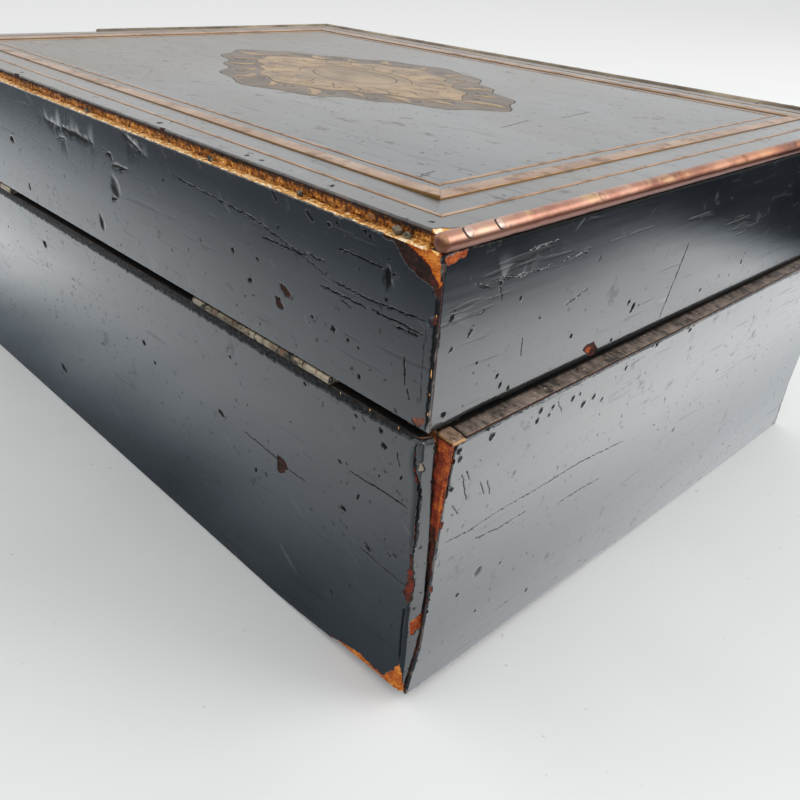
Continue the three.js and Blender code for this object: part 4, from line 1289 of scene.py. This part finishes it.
marks = [Crack(spots(back_face, path)) for path in LID_BACK_CRACKS]
marks += [Crack(spots(back_face, path), 0.7, 0.3) for path in LID_BACK_SLASHES]
marks += [Dent(back_face.spot(at), long, short, turn) for at, long, short, turn in LID_BACK_DENTS]
marks += [gouge(back_face, *mark) for mark in LID_BACK_GOUGES]
marks += [Chip(spots(back_face, outline), 0.35, 0.12) for outline in LID_BROWN_CHIPS]
marks += [
    Chip(spots(back_face, CORNER_SCAR), 0.5, 0.12),
    Chip(spots(back_face, CORNER_WOOD), 0.7, 0.68),
    Chip(spots(back_face, CORNER_GOLD), 0.45, 0.9),
    Chip(spots(back_face, FOOT_PATCH), 0.15, 0.47, 0.46),
    Chip(spots(back_face, ARRIS_PATCH), 0.15, 0.38, 0.42),
    Crack([(WORN_ARRIS, 112), (WORN_ARRIS, 95), (WORN_ARRIS + 0.1, LID_EDGE + 0.5)], 0.55, 0.08, 0.95),
    Crack([(WORN_ARRIS + 1.9, 106), (WORN_ARRIS + 2.2, 98), (WORN_ARRIS + 2, 88)], 0.2, 0.15, 0.35),
    # Painted shade: a dark line along the lid's lower edge at the seam, drawn as a crack.
    Crack([(-HALF_LENGTH + 1, LID_EDGE + 0.1), (HALF_LENGTH - 1, LID_EDGE + 0.1)], 0.7, 0.12, 0.8),
]
for height, size in ARRIS_FLECKS:
    marks.append(Dent((WORN_ARRIS - 0.06, height), size, 0.06, math.pi / 2, 0.05, 0.9))
low, high = (-HALF_LENGTH, LID_EDGE), (HALF_LENGTH, LEDGE)
sheet("lid_back_sheet", back_face, rectangle(low, high), polish["x"], "lid", marks, ragged=0.08,
      side=(1, 0.35), node="lid_back_veneer", slot="black_veneer", shape=lid_back_shape)

LID_LEFT_CRACKS = (
    ((565, 305), (588, 288)), ((522, 337), (521, 356)), ((690, 240), (674, 281), (658, 320)),
    ((545, 270), (552, 263)), ((500, 283), (502, 300)), ((520, 277), (528, 274)), ((466, 338), (473, 330)),
    ((450, 320), (453, 313)), ((478, 315), (485, 308)), ((497, 280), (520, 275), (545, 268)),
    ((560, 262), (590, 250)), ((598, 262), (602, 255)), ((530, 250), (560, 240)), ((476, 284), (492, 288)),
)
LID_LEFT_DENTS = (
    ((452, 318), 1.0, 0.3), ((470, 333), 1.0, 0.3), ((451, 350), 0.7, 0.3), ((443, 415), 0.7, 0.7),
    ((571, 336), 0.6, 0.5), ((611, 340), 0.5, 0.4), ((500, 385), 0.8, 0.5), ((497, 376), 0.7, 0.4),
    ((508, 388), 0.6, 0.4), ((493, 399), 0.5, 0.4), ((501, 283), 0.5, 0.4), ((633, 306), 1.1, 0.6),
    ((629, 302), 0.7, 0.4), ((631, 311), 0.6, 0.4), ((521, 299), 0.4, 0.3), ((477, 363), 0.4, 0.3),
    ((565, 369), 0.6, 0.4), ((540, 318), 0.3, 0.3), ((700, 290), 0.6, 0.4), ((741, 262), 0.6, 0.4),
)
RED_EDGE_CHIP = ((583, 350), (586, 345), (594, 342), (598, 350), (590, 359))
UNDER_BEAD_CHIP = ((445, 258), (456, 252), (469, 249), (467, 257), (458, 261), (447, 266))
LID_LEFT_STEPS = ((462, 417), (501, 400))

marks = [Crack(spots(left_face, path), 0.22, 0.2, 0.55) for path in LID_LEFT_CRACKS]
marks += [Dent(left_face.spot(at), long, short, 2.2, 0.3) for at, long, short in LID_LEFT_DENTS]
marks += [
    Chip(spots(left_face, RED_EDGE_CHIP), 0.4, 0.18),
    Dent(left_face.spot((589, 350)), 1.1, 0.8, 0.2, 0.1, 0.5),
    Chip(spots(left_face, UNDER_BEAD_CHIP), 0.2, 0.47, 0.6),
]


def lid_edge_at(y):
    """The height of the lid's lower edge, which rises a little from front to back."""
    return LID_FRONT_EDGE + (LID_EDGE - LID_FRONT_EDGE) * (y + HALF_WIDTH) / (2 * HALF_WIDTH)


marks += [
    # Painted shade: dark bands along the lid's lower edge and under the bead, drawn as cracks.
    Crack([(y, lid_edge_at(y) + 0.55) for y in (-SIDE_END, SIDE_END)], 1.5, 0.08, 0.95),
    Crack([(-SIDE_END, LEDGE - 0.2), (SIDE_END - 4, LEDGE - 0.2)], 0.8, 0.05, 0.95),
]
first, second = (left_face.spot(p)[0] for p in LID_LEFT_STEPS)
outline = [
    (-SIDE_END, LEDGE), (-SIDE_END, lid_edge_at(-SIDE_END)), (second, lid_edge_at(second)),
    (second + 0.3, lid_edge_at(second) + 0.3), (first, lid_edge_at(first) + 0.4),
    (first + 0.5, lid_edge_at(first)), (SIDE_END, lid_edge_at(SIDE_END)), (SIDE_END, LEDGE),
]
sheet("lid_left_sheet", left_face, outline, polish["y"], "lid", marks, side=(1, 0.2),
      node="lid_left_veneer", slot="black_veneer")

outline = [(-SIDE_END, lid_edge_at(-SIDE_END)), (SIDE_END, lid_edge_at(SIDE_END)), (SIDE_END, LEDGE),
           (-SIDE_END, LEDGE)]
low, high = (-SIDE_END, LID_EDGE), (SIDE_END, LEDGE)
sheet("lid_right_sheet", right_face, outline, polish["y"], "lid", scattered(23, low, high, 14, 4),
      node="lid_right_veneer", slot="black_veneer")
low, high = (-HALF_LENGTH, LID_FRONT_EDGE), (HALF_LENGTH, LEDGE)
marks = scattered(24, low, high, 16, 5)
sheet("lid_front_sheet", front_face, rectangle(low, high), polish["x"], "lid", marks,
      node="lid_front_veneer", slot="black_veneer")

# The rabbet round the top, into which the bead is pinned. Where the bead is lost it shows torn wood,
# splintered along the grain, brown on its wall and bright on its floor, with painted light and shade in its
# colour: painted shadow black under the veneer's edge at the top of the wall, and painted light that grows
# brighter outwards across the floor.
RABBET = 3
TOP_EDGE = HALF_WIDTH - RABBET
TOP_END = HALF_LENGTH - RABBET
BOARD_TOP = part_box("top_outer_band")[0].z / MM
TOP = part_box("top_outer_band")[1].z / MM
BROKEN_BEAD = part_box("bead_right")[1].y / MM
TORN_SKIN = 0.4
FLOOR_LIFT = 0.15


def torn_wood(name, way):
    """Painted shadow black at the top of the wall, brown down it, and gold to white across the floor, where
    painted light grows brighter outwards.
    """

    def paint(place):
        long = place.stretched(*way).noise(210, 4, 0.75)
        clumps = place.noise(520, 4, 0.75)
        speck = place.noise(1300, 2, 0.7)
        x, y, z = (place.axis(k) for k in range(3))
        # Painted light: the floor grows brighter outwards from the wall.
        out = (x.math("ABSOLUTE") - TOP_END * MM).most(y.math("ABSOLUTE") - TOP_EDGE * MM)
        out = out.between(0.0002, 0.0011) * 0.095 + out.between(0.0021, 0.0029) * 0.05
        # Painted shade: the wall darkens to black towards its top, under the veneer's edge.
        up = (z + (clumps - 0.5) * 0.0008).between((BOARD_TOP - 1) * MM, (BOARD_TOP + 0.1) * MM)
        tone = long * 0.25 + clumps * 0.4 + speck * 0.35
        color = (out - up * 0.13 + (tone - 0.5) * 1.25 + 0.495).ramp(
            (0.34, (0.008, 0.005, 0.003)), (0.42, (0.09, 0.026, 0.004)), (0.5, (0.32, 0.105, 0.012)),
            (0.57, (0.62, 0.27, 0.05)), (0.64, (0.92, 0.58, 0.24)), (0.72, (1.0, 0.93, 0.78)))
        return {
            "Base Color": color,
            "Roughness": clumps * 0.3 + 0.4,
            "Normal": (clumps * 0.7 + speck * 0.5 + long * 0.5, 0.45),
        }

    return finish(name, paint, Specular_IOR_Level=0.25)


torn = {"x": torn_wood("torn_wood_painted_light_long", ALONG_X), "y": torn_wood("torn_wood_painted_light_short", ALONG_Y)}


def torn_strip(name, face, low, high, way):
    """A thin splintered skin on the rabbet's floor or wall."""
    sheet(name, face, rectangle(low, high), torn[way], "lid", thick=TORN_SKIN, wear=0.12, fine=0.65,
          step=0.7, ragged=0.2, rough=(0.25, 3, 0.7), slot="pine")


wall_top = BOARD_TOP + 0.15
floor = Z * (LEDGE + FLOOR_LIFT)
torn_strip("rabbet_floor_back", Face(floor, X, Y, Z), (-TOP_END + 1, TOP_EDGE - 0.1),
           (HALF_LENGTH - 0.2, HALF_WIDTH - 0.25), "x")
torn_strip("rabbet_wall_back", Face(Y * (TOP_EDGE + 0.1), X, Z, Y), (-TOP_END, LEDGE),
           (TOP_END, wall_top), "x")
torn_strip("rabbet_floor_right", Face(floor, Y, X, Z), (BROKEN_BEAD + 0.2, TOP_END - 0.1),
           (TOP_EDGE, HALF_LENGTH - 0.25), "y")
torn_strip("rabbet_wall_right", Face(X * (TOP_END + 0.1), Y, Z, X), (BROKEN_BEAD, LEDGE),
           (TOP_EDGE, wall_top), "y")

# The top's black veneer: three bands and a centre panel round the brass. It is rubbed and hazed
# to grey, with brown dust on it, and its outer band has lost its near corner.
hazed = {
    "outer": polish_finish("hazed_polish_outer", 0.4, 0.28, ALONG_X, (0, 0, 1), 0.2, 0.25, IOR=1.6,
                           Coat_Roughness=0.3),
    "inner": polish_finish("hazed_polish_inner", 0.48, 0.3, (0.14, 1, 1), (0, 0, 1), 0.2, 0.4, IOR=1.55,
                           Coat_Roughness=0.34),
}
TOP_WEAR = 0.2
BAND_CORNER_GOLD = ((429, 233), (434, 228), (447, 228), (462, 227), (464, 231), (456, 236), (447, 240),
                    (436, 246))
BAND_CORNER_DARK = ((396, 222), (412, 224), (428, 229), (434, 229), (436, 246), (412, 240), (396, 230))
BAND_HAIRLINES = (((325, 182), (331, 185)), ((338, 185), (344, 188)))
PANEL_HAIRLINES = (
    ((420, 175), (436, 171)), ((412, 178), (432, 174)), ((98, 75), (116, 74)), ((560, 118), (590, 112)),
    ((500, 128), (530, 120)),
)


def inset(edge):
    """The rectangle that lies so far inside the lid's edges."""
    low, high = (-HALF_LENGTH + edge, -HALF_WIDTH + edge), (HALF_LENGTH - edge, HALF_WIDTH - edge)
    return rectangle(low, high)


def inset_of(node_name):
    return HALF_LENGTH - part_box(node_name)[1].x / MM


top_face = Face(Z * TOP, X, Y, Z)
line_inset = inset_of("outer_line_back")
LINE = inset_of("top_middle_band") - line_inset
strip_inset = inset_of("brass_strip_back")
marks = [
    Chip(spots(top_face, BAND_CORNER_DARK), 0.7, 0.3),
    Chip(spots(top_face, BAND_CORNER_GOLD), 0.6, 0.95),
    *scattered(31, (-TOP_END, TOP_EDGE - 5), (TOP_END, TOP_EDGE), 9, 0),
    *scattered(32, (-TOP_END, -TOP_EDGE), (TOP_END, -TOP_EDGE + 5), 9, 0),
]
sheet("outer_band", top_face, inset(RABBET), hazed["outer"], "lid", marks, wear=TOP_WEAR, side=(1, 0.12),
      holes=[inset(line_inset)], node="top_outer_band", slot="black_veneer")
marks = [Crack(spots(top_face, path), 0.3, 0.1) for path in BAND_HAIRLINES]
sheet("middle_band", top_face, inset(line_inset + LINE), hazed["outer"], "lid", marks, wear=TOP_WEAR,
      holes=[inset(strip_inset)], node="top_middle_band", slot="black_veneer")
sheet("inner_band", top_face, inset(inset_of("top_inner_band")), hazed["inner"], "lid", wear=TOP_WEAR,
      holes=[inset(inset_of("inner_line"))], node="top_inner_band", slot="black_veneer")

LOBE_STEPS = 96
GROUND_SIZE = (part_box("ornament_ground")[1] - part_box("ornament_ground")[0]) / MM


def lobed(share, shrink=0.0, lobe=0.1, scallop=0.03):
    """The ornament's outline: an oval that swells in four lobes and many scallops."""
    half = [side * share / 2 - shrink for side in GROUND_SIZE.xy]
    made = []
    for k in range(LOBE_STEPS):
        angle = 2 * math.pi * k / LOBE_STEPS
        swell = (1 + lobe * math.cos(4 * angle) + scallop * math.cos(16 * angle)) / (1 + lobe + scallop)
        made.append((half[0] * swell * math.cos(angle), half[1] * swell * math.sin(angle)))
    return made


marks = [Crack(spots(top_face, path), 0.3, 0.08) for path in PANEL_HAIRLINES]
sheet("center_panel", top_face, inset(inset_of("top_center_panel")), hazed["inner"], "lid", marks,
      wear=TOP_WEAR, holes=[lobed(1.002)], node="top_center_panel", slot="black_veneer")

# Brass lines and strips let into the top. They are tarnished pink and brown, darker orange on their sides
# than on their tops, and the back strip has sprung up at its near end.
LIFT_REACH = 16
LIFT_STEPS = 8
LIFT = 0.5


def line_paint(place):
    cloud = place.noise(55, 4, 0.65)
    fine = place.noise(420, 3, 0.7)
    brown = place.noise(120, 4, 0.7).between(0.5, 0.66)
    side_face = place.facing(2).between(0.75, 0.4)
    color = cloud.ramp((0.35, (0.28, 0.15, 0.085)), (0.5, (0.42, 0.27, 0.18)), (0.66, (0.5, 0.36, 0.26)))
    color = (brown * 0.6).tint(color, (0.12, 0.065, 0.035))
    color = (side_face * 0.9).tint(color, (0.22, 0.11, 0.02))
    return {
        "Base Color": color,
        "Roughness": cloud * 0.2 + brown * 0.15 + 0.3,
        "Metallic": 0.55 - brown * 0.4,
        "Normal": (fine * 0.4 + cloud * 0.5, 0.1),
    }


line_brass = finish("tarnished_brass", line_paint)


def sprung(shape):
    """Lifts the near end of the back strip."""
    start = -HALF_LENGTH + strip_inset
    for step in range(1, LIFT_STEPS + 1):
        cut_across(shape, (start + LIFT_REACH * step / LIFT_STEPS) * MM, 0)
    for vert in shape.verts:
        past = max(0, 1 - (vert.co.x / MM - start) / LIFT_REACH)
        vert.co.z += LIFT * MM * past**1.6


for side in ("front", "right", "back", "left"):
    eased(f"outer_line_{side}", line_brass, 0.12)
    eased(f"brass_strip_{side}", line_brass, 0.16, sprung if side == "back" else None)
eased("inner_line", line_brass, 0.12)

# The ornament: a lobed panel of tan wood, a brass ring let into it and an oval of wood in the
# ring. Plain brass leaves are inlaid round the panel, and it is engraved with curls.
RING_SHARE = (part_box("ornament_ring")[1].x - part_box("ornament_ring")[0].x) / MM / GROUND_SIZE.x
OVAL_HALF = (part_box("ornament_oval")[1] / MM).xy
LEAF_COUNT = 20
LEAF_LIFT = 0.12


def inlay_finish(name, light, dark):
    """Polished wood of a fine grain, with its engraving filled dark."""

    def paint(place):
        grain = place.stretched(0.15, 1, 1).noise(160, 4, 0.65)
        cloud = place.noise(60, 4, 0.6)
        color = cloud.between(0.35, 0.65).tint(dark, light)
        color = (grain * 0.45).tint(color, (0.07, 0.045, 0.028))
        color = place.mark("dark").between(0.2, 0.8).tint(color, (0.03, 0.02, 0.014))
        return {"Base Color": color, "Roughness": grain * 0.2 + 0.36, "Normal": (grain, 0.1)}

    return finish(name, paint)


def gilt_paint(place):
    cloud = place.noise(85, 4, 0.7)
    fine = place.noise(500, 3, 0.7)
    color = cloud.ramp((0.36, (0.17, 0.1, 0.05)), (0.5, (0.32, 0.21, 0.105)), (0.64, (0.45, 0.31, 0.17)))
    color = place.mark("dark").between(0.2, 0.8).tint(color, (0.035, 0.022, 0.012))
    return {
        "Base Color": color,
        "Roughness": cloud * 0.25 + 0.3,
        "Metallic": cloud.between(0.36, 0.5) * 0.5,
        "Normal": (fine * 0.4 + cloud * 0.5, 0.1),
    }


tan_wood = inlay_finish("tan_wood", (0.21, 0.155, 0.105), (0.115, 0.085, 0.062))
golden_wood = inlay_finish("golden_wood", (0.42, 0.29, 0.16), (0.26, 0.175, 0.1))
gilt = finish("gilt_brass", gilt_paint)


def on_oval(share, angle):
    """A place on an oval like the ornament, which is a share of its size."""
    return Vector((GROUND_SIZE.x / 2 * share * math.cos(angle), GROUND_SIZE.y / 2 * share * math.sin(angle)))


def curl(start, size, way):
    """An engraved line that winds in on itself."""
    made = []
    for t in range(13):
        ray = Vector((math.cos(way * t * 0.5), math.sin(way * t * 0.5)))
        made.append(tuple(start + ray * size * (1 - t / 14)))
    return made


def leaf(root, tip, width):
    """The outline of a leaf that bends a little to one side."""
    run = tip - root
    across = Vector((-run.y, run.x)).normalized()
    sides = []
    for sign in (1, -1):
        side = []
        for k in range(8):
            t = k / 8 if sign > 0 else 1 - k / 8
            bend = across * width * 0.7 * math.sin(math.pi * t)
            side.append(root + run * t + bend + across * sign * width * math.sin(math.pi * t) ** 0.8)
        sides += side
    return [tuple(p) for p in sides]


engraving = []
for k in range(LEAF_COUNT):
    angle = 2 * math.pi * (k + 0.5) / LEAF_COUNT
    way = 1 if k % 2 else -1
    engraving.append(Crack(curl(on_oval(0.74, angle), 2.6, way), 0.5, 0.12))
sheet("ground", top_face, lobed(1, 0.15), tan_wood, "lid", engraving, wear=0.12, holes=[lobed(RING_SHARE)],
      node="ornament_ground", slot="tan_wood", ragged=0.05)
ring_face = Face(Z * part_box("ornament_ring")[1].z / MM, X, Y, Z)
ring_lines = []
for k in range(LEAF_COUNT):
    angle = 2 * math.pi * k / LEAF_COUNT
    ray = [on_oval(0.38, angle), on_oval(0.48, angle + 0.1), on_oval(0.58, angle + 0.05)]
    ring_lines.append(Crack(ray, 0.45, 0.12))
    ring_lines.append(Crack(curl(on_oval(0.52, angle + 0.16), 1.8, 1), 0.4, 0.12))
oval, oval_line = (
    [(OVAL_HALF.x * share * math.cos(a), OVAL_HALF.y * share * math.sin(a))
     for a in (2 * math.pi * k / steps for k in range(count))]
    for share, steps, count in ((1, 48, 48), (0.75, 24, 25)))
sheet("ring", ring_face, lobed(RING_SHARE - 0.003), gilt, "lid", ring_lines, wear=0.12,
      holes=[[(x * 1.006, y * 1.006) for x, y in oval]], node="ornament_ring", slot="brass", ragged=0.05)
sheet("oval", top_face, oval, golden_wood, "lid", [Crack(oval_line, 0.5, 0.12)], wear=0.12,
      node="ornament_oval", slot="tan_wood", ragged=0.05)
leaf_face = Face(Z * (TOP + LEAF_LIFT), X, Y, Z)
for k in range(LEAF_COUNT):
    angle = 2 * math.pi * k / LEAF_COUNT
    big = k % 2 == 0
    fullest = (1 + 0.1 * math.cos(4 * angle)) / 1.13
    root = on_oval(0.76 * fullest, angle - 0.03)
    tip = on_oval((0.97 if big else 0.9) * fullest, angle + 0.08)
    vein = Crack([root.lerp(tip, 0.15), root.lerp(tip, 0.85)], 0.4, 0.1)
    sheet(f"leaf_{k + 1}", leaf_face, leaf(root, tip, 2.3 if big else 1.5), gilt, "lid", [vein],
          thick=0.3, wear=0.12, fine=2, step=1, side=(0, 0), slot="brass", ragged=0)

# The bead: round brass rod pinned into the rabbet round the top. It is rubbed pink and copper, dented, and
# its near end has been knocked round. Its colour carries painted shade on its underside and a painted
# highlight on its knocked end. The flush heads of its pins show.
BEAD_RADIUS = 1.95
BEAD_INSET = RABBET - BEAD_RADIUS
BEAD_LEVEL = LEDGE + BEAD_RADIUS
BEAD_SIDES = 36
BEAD_DENT = 0.09
PIN_HEAD = 1.15
PIN_RISE = math.radians(52)
PIN_PIXELS = ((469, 234), (501, 224))
PIN_PITCH = 34
CORNER_GAP = 0.15


def bead_paint(place):
    patches = place.noise(42, 4, 0.6)
    fine = place.noise(360, 4, 0.75)
    gold = place.noise(95, 4, 0.7)
    lie = place.facing(2)
    near = (place.axis(1) + patches * 0.08).between(-0.02, 0.13)
    copper = patches.ramp((0.34, (0.13, 0.035, 0.011)), (0.5, (0.33, 0.1, 0.03)), (0.64, (0.52, 0.185, 0.06)))
    dull = patches.ramp((0.34, (0.09, 0.07, 0.045)), (0.5, (0.2, 0.165, 0.11)), (0.64, (0.34, 0.29, 0.2)))
    turned = place.axis(0).between(-0.1465, -0.139)
    rose = patches.ramp((0.34, (0.24, 0.085, 0.05)), (0.5, (0.42, 0.2, 0.135)), (0.64, (0.58, 0.36, 0.26)))
    color = near.tint(copper, rose)
    color = (gold.between(0.52, 0.66) * lie.between(0.1, 0.8) * 0.6).tint(color, (0.6, 0.4, 0.19))
    # Painted highlight: bright yellow on the knocked end.
    tip = place.axis(1).between(0.1088, 0.11) * lie.between(-0.6, 0.2) * fine.between(0.35, 0.6)
    color = (tip * 0.6).tint(color, (0.8, 0.5, 0.16))
    # Painted shade: the underside goes dark red-brown, and dark grey on the dull beads.
    under = lie.between(0.55, 0.05)
    color = (under * 0.85).tint(color, (0.13, 0.035, 0.018))
    color = (turned * 0.92).tint(color, (under * 0.7).tint(dull, (0.05, 0.038, 0.025)))
    grime = fine.between(0.6, 0.72) * 0.6
    color = grime.tint(color, (0.09, 0.035, 0.02))
    color = place.mark("dark").between(0.2, 0.8).tint(color, (0.03, 0.012, 0.008))
    return {
        "Base Color": color,
        "Roughness": patches * 0.18 + grime * 0.3 + 0.26,
        "Metallic": near * -0.2 - grime * 0.5 - turned * 0.3 + 0.8,
        "Normal": (patches * 0.7 + fine * 0.3, 0.2),
    }


bead_painted_light_brass = finish("bead_painted_light_brass", bead_paint)


def rod(name, start, end, across, miters, broken, step, node):
    """A dented round rod. Across is its outer side, which its mitred ends follow, and a broken
    end is knocked round."""
    run = (end - start).normalized()
    length = (end - start).length
    snub = BEAD_RADIUS * 0.45
    stops = list(np.arange(0, length - snub, step))
    turns = np.linspace(0, math.pi / 2 * 0.95, 7) if broken else [math.pi / 2]
    stops += [length - snub * (1 - math.sin(a)) for a in turns]
    shape = bmesh.new()
    rings = []
    for s in stops:
        ring = []
        past = max(0, (s - length) / snub + 1) if broken else 0
        shrink = math.sqrt(max(0.01, 1 - past**2)) * 0.75 + 0.25
        for k in range(BEAD_SIDES):
            angle = 2 * math.pi * k / BEAD_SIDES
            ray = across * math.cos(angle) + Z * math.sin(angle)
            dent = noise.fractal((start + run * s + ray * 2) * 0.22, 1, 2, 3)
            slide = sum(m * math.cos(angle) * BEAD_RADIUS * max(0, 1 - far / (2.5 * BEAD_RADIUS))
                        for m, far in ((miters[0], s), (miters[1], length - s)))
            reach = BEAD_RADIUS * shrink - max(0, dent) * BEAD_DENT
            ring.append(shape.verts.new((start + run * (s + slide) + ray * reach) * MM))
        rings.append(ring)
    for before, after in zip(rings, rings[1:]):
        for k in range(BEAD_SIDES):
            j = (k + 1) % BEAD_SIDES
            shape.faces.new((before[k], before[j], after[j], after[k]))
    shape.faces.new(rings[0][::-1])
    shape.faces.new(rings[-1])
    bmesh.ops.recalc_face_normals(shape, faces=shape.faces)
    bmesh.ops.triangulate(shape, faces=[f for f in shape.faces if len(f.verts) > 4])
    added(name, meshed(name, shape), bead_painted_light_brass, "lid", node)


def pin_paint(place):
    cloud = place.noise(300, 4, 0.7)
    near = place.axis(1).between(0.04, 0.09)
    turned = place.axis(0).between(-0.1465, -0.139)
    light = near.tint(turned.tint((0.36, 0.13, 0.045), (0.24, 0.2, 0.14)), (0.62, 0.45, 0.37))
    dark = near.tint(turned.tint((0.24, 0.08, 0.027), (0.15, 0.12, 0.08)), (0.3, 0.17, 0.12))
    return {
        "Base Color": cloud.between(0.35, 0.65).tint(dark, light),
        "Roughness": cloud * 0.2 + 0.3,
        "Metallic": cloud.between(0.2, 0.8) * 0.4 + 0.3,
        "Normal": (cloud, 0.1),
    }


def seat_paint(place):
    crust = place.noise(800, 3, 0.7)
    color = crust.tint((0.008, 0.004, 0.003), (0.05, 0.025, 0.015))
    return {"Base Color": color, "Roughness": crust * 0.3 + 0.5}


pin_brass = finish("pin_brass", pin_paint)
seat_grime = finish("seat_grime", seat_paint)


def pin_heads(name, places, run, across, seated=False):
    """The flush heads of a bead's pins. Where its pins are loose, each lies in a dark seat."""
    ray = across * math.cos(PIN_RISE) + Z * math.sin(PIN_RISE)
    side = run.cross(ray)
    parts = [("head", pin_brass, 1, 0.02, 0), ("seat", seat_grime, 1.16, -0.02, -0.16)]
    for part, material, size, rise, lean in parts[: 1 + seated]:
        shape = bmesh.new()
        for place in places:
            middle = place + ray * (BEAD_RADIUS + rise) + run * lean * PIN_HEAD
            dome = bmesh.ops.create_icosphere(shape, subdivisions=3, radius=1)["verts"]
            for vert in dome:
                along, around, out = vert.co * (PIN_HEAD * size)
                sink = BEAD_RADIUS - math.sqrt(BEAD_RADIUS**2 - around**2)
                vert.co = (middle + run * along + side * around + ray * (out * 0.08 - sink)) * MM
        added(f"{name}_{part}s", meshed(f"{name}_{part}s", shape), material, "lid")


bead_x, bead_y = HALF_LENGTH - BEAD_INSET, HALF_WIDTH - BEAD_INSET
rod("bead_left_rod", Vector((-bead_x, -bead_y + CORNER_GAP, BEAD_LEVEL)),
    Vector((-bead_x, HALF_WIDTH - 0.1, BEAD_LEVEL)), -X, (-1, 0), True, 0.6, "bead_left")
rod("bead_front_rod", Vector((-bead_x + CORNER_GAP, -bead_y, BEAD_LEVEL)),
    Vector((bead_x - CORNER_GAP, -bead_y, BEAD_LEVEL)), -Y, (-1, 1), False, 1.2, "bead_front")
rod("bead_right_rod", Vector((bead_x, -bead_y + CORNER_GAP, BEAD_LEVEL)),
    Vector((bead_x, BROKEN_BEAD - 0.1, BEAD_LEVEL)), X, (-1, 0), True, 1.2, "bead_right")
pin_plane = Face(X * -(bead_x + BEAD_RADIUS * math.cos(PIN_RISE)), Y, Z, -X)
loose = [Vector((-bead_x, pin_plane.spot(pixel)[0], BEAD_LEVEL)) for pixel in PIN_PIXELS]
pin_heads("bead_loose_pin", loose, -Y, -X, True)
pin_heads("bead_left_pin", [loose[-1] - Y * PIN_PITCH * k for k in range(1, 6)], -Y, -X)
pin_heads("bead_front_pin", [Vector((-120 + 48 * k, -bead_y, BEAD_LEVEL)) for k in range(6)], X, -Y)
pin_heads("bead_right_pin", [Vector((bead_x, -90 + 46 * k, BEAD_LEVEL)) for k in range(3)], Y, X)

# What the lost bead has left in the back rabbet: a nub of its own brass, a lump of green
# corrosion next to it, and the corroded stumps of three of its brass pins.
NUB_PIXEL, GREEN_PIXEL = (398, 225), (408, 230)
STUMP_PIXELS = ((210, 154), (86, 104), (300, 188))


def lump(name, place, size, seed, material):
    """A small broken remnant, uneven all over."""
    shape = bmesh.new()
    bmesh.ops.create_icosphere(shape, subdivisions=4, radius=1)
    for vert in shape.verts:
        swell = 1 + 0.25 * noise.fractal(vert.co * 1.3 + Vector((seed, 0, 0)), 1, 2, 2)
        vert.co = (place + Vector(a * b * swell for a, b in zip(vert.co, size))) * MM
    added(name, meshed(name, shape), material, "lid")


def corroded_paint(place):
    crust = place.noise(700, 4, 0.7)
    color = crust.ramp((0.38, (0.012, 0.009, 0.005)), (0.52, (0.09, 0.075, 0.045)), (0.68, (0.4, 0.38, 0.28)))
    return {"Base Color": color, "Roughness": crust * 0.4 + 0.4, "Normal": (crust, 0.3)}


corroded = finish("corroded_brass", corroded_paint)
rabbet_middle = Face(Y * (HALF_WIDTH - RABBET / 2), X, Z, Y)


def in_rabbet(pixel):
    """The place in the back rabbet that the photograph shows at a pixel."""
    x, _ = rabbet_middle.spot(pixel)
    return Vector((x, HALF_WIDTH - RABBET / 2, LEDGE + 0.9))


lump("bead_nub", in_rabbet(NUB_PIXEL), (1.25, 0.85, 0.9), 1, bead_painted_light_brass)
lump("green_lump", in_rabbet(GREEN_PIXEL) - Z * 0.2, (0.9, 0.7, 0.75), 2, corroded)
for count, pixel in enumerate(STUMP_PIXELS, 1):
    lump(f"pin_stump_{count}", in_rabbet(pixel) - Z * 0.3, (0.75, 0.6, 0.8), 3 + count, corroded)

# The lid's lining is velvet on card too, cut to the same size as the base's. It is glued under
# the top board, and its pile faces down when the lid is shut.
lining("lid_lining", "lid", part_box("lid_lining")[0].z / MM, -Z)

low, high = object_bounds()
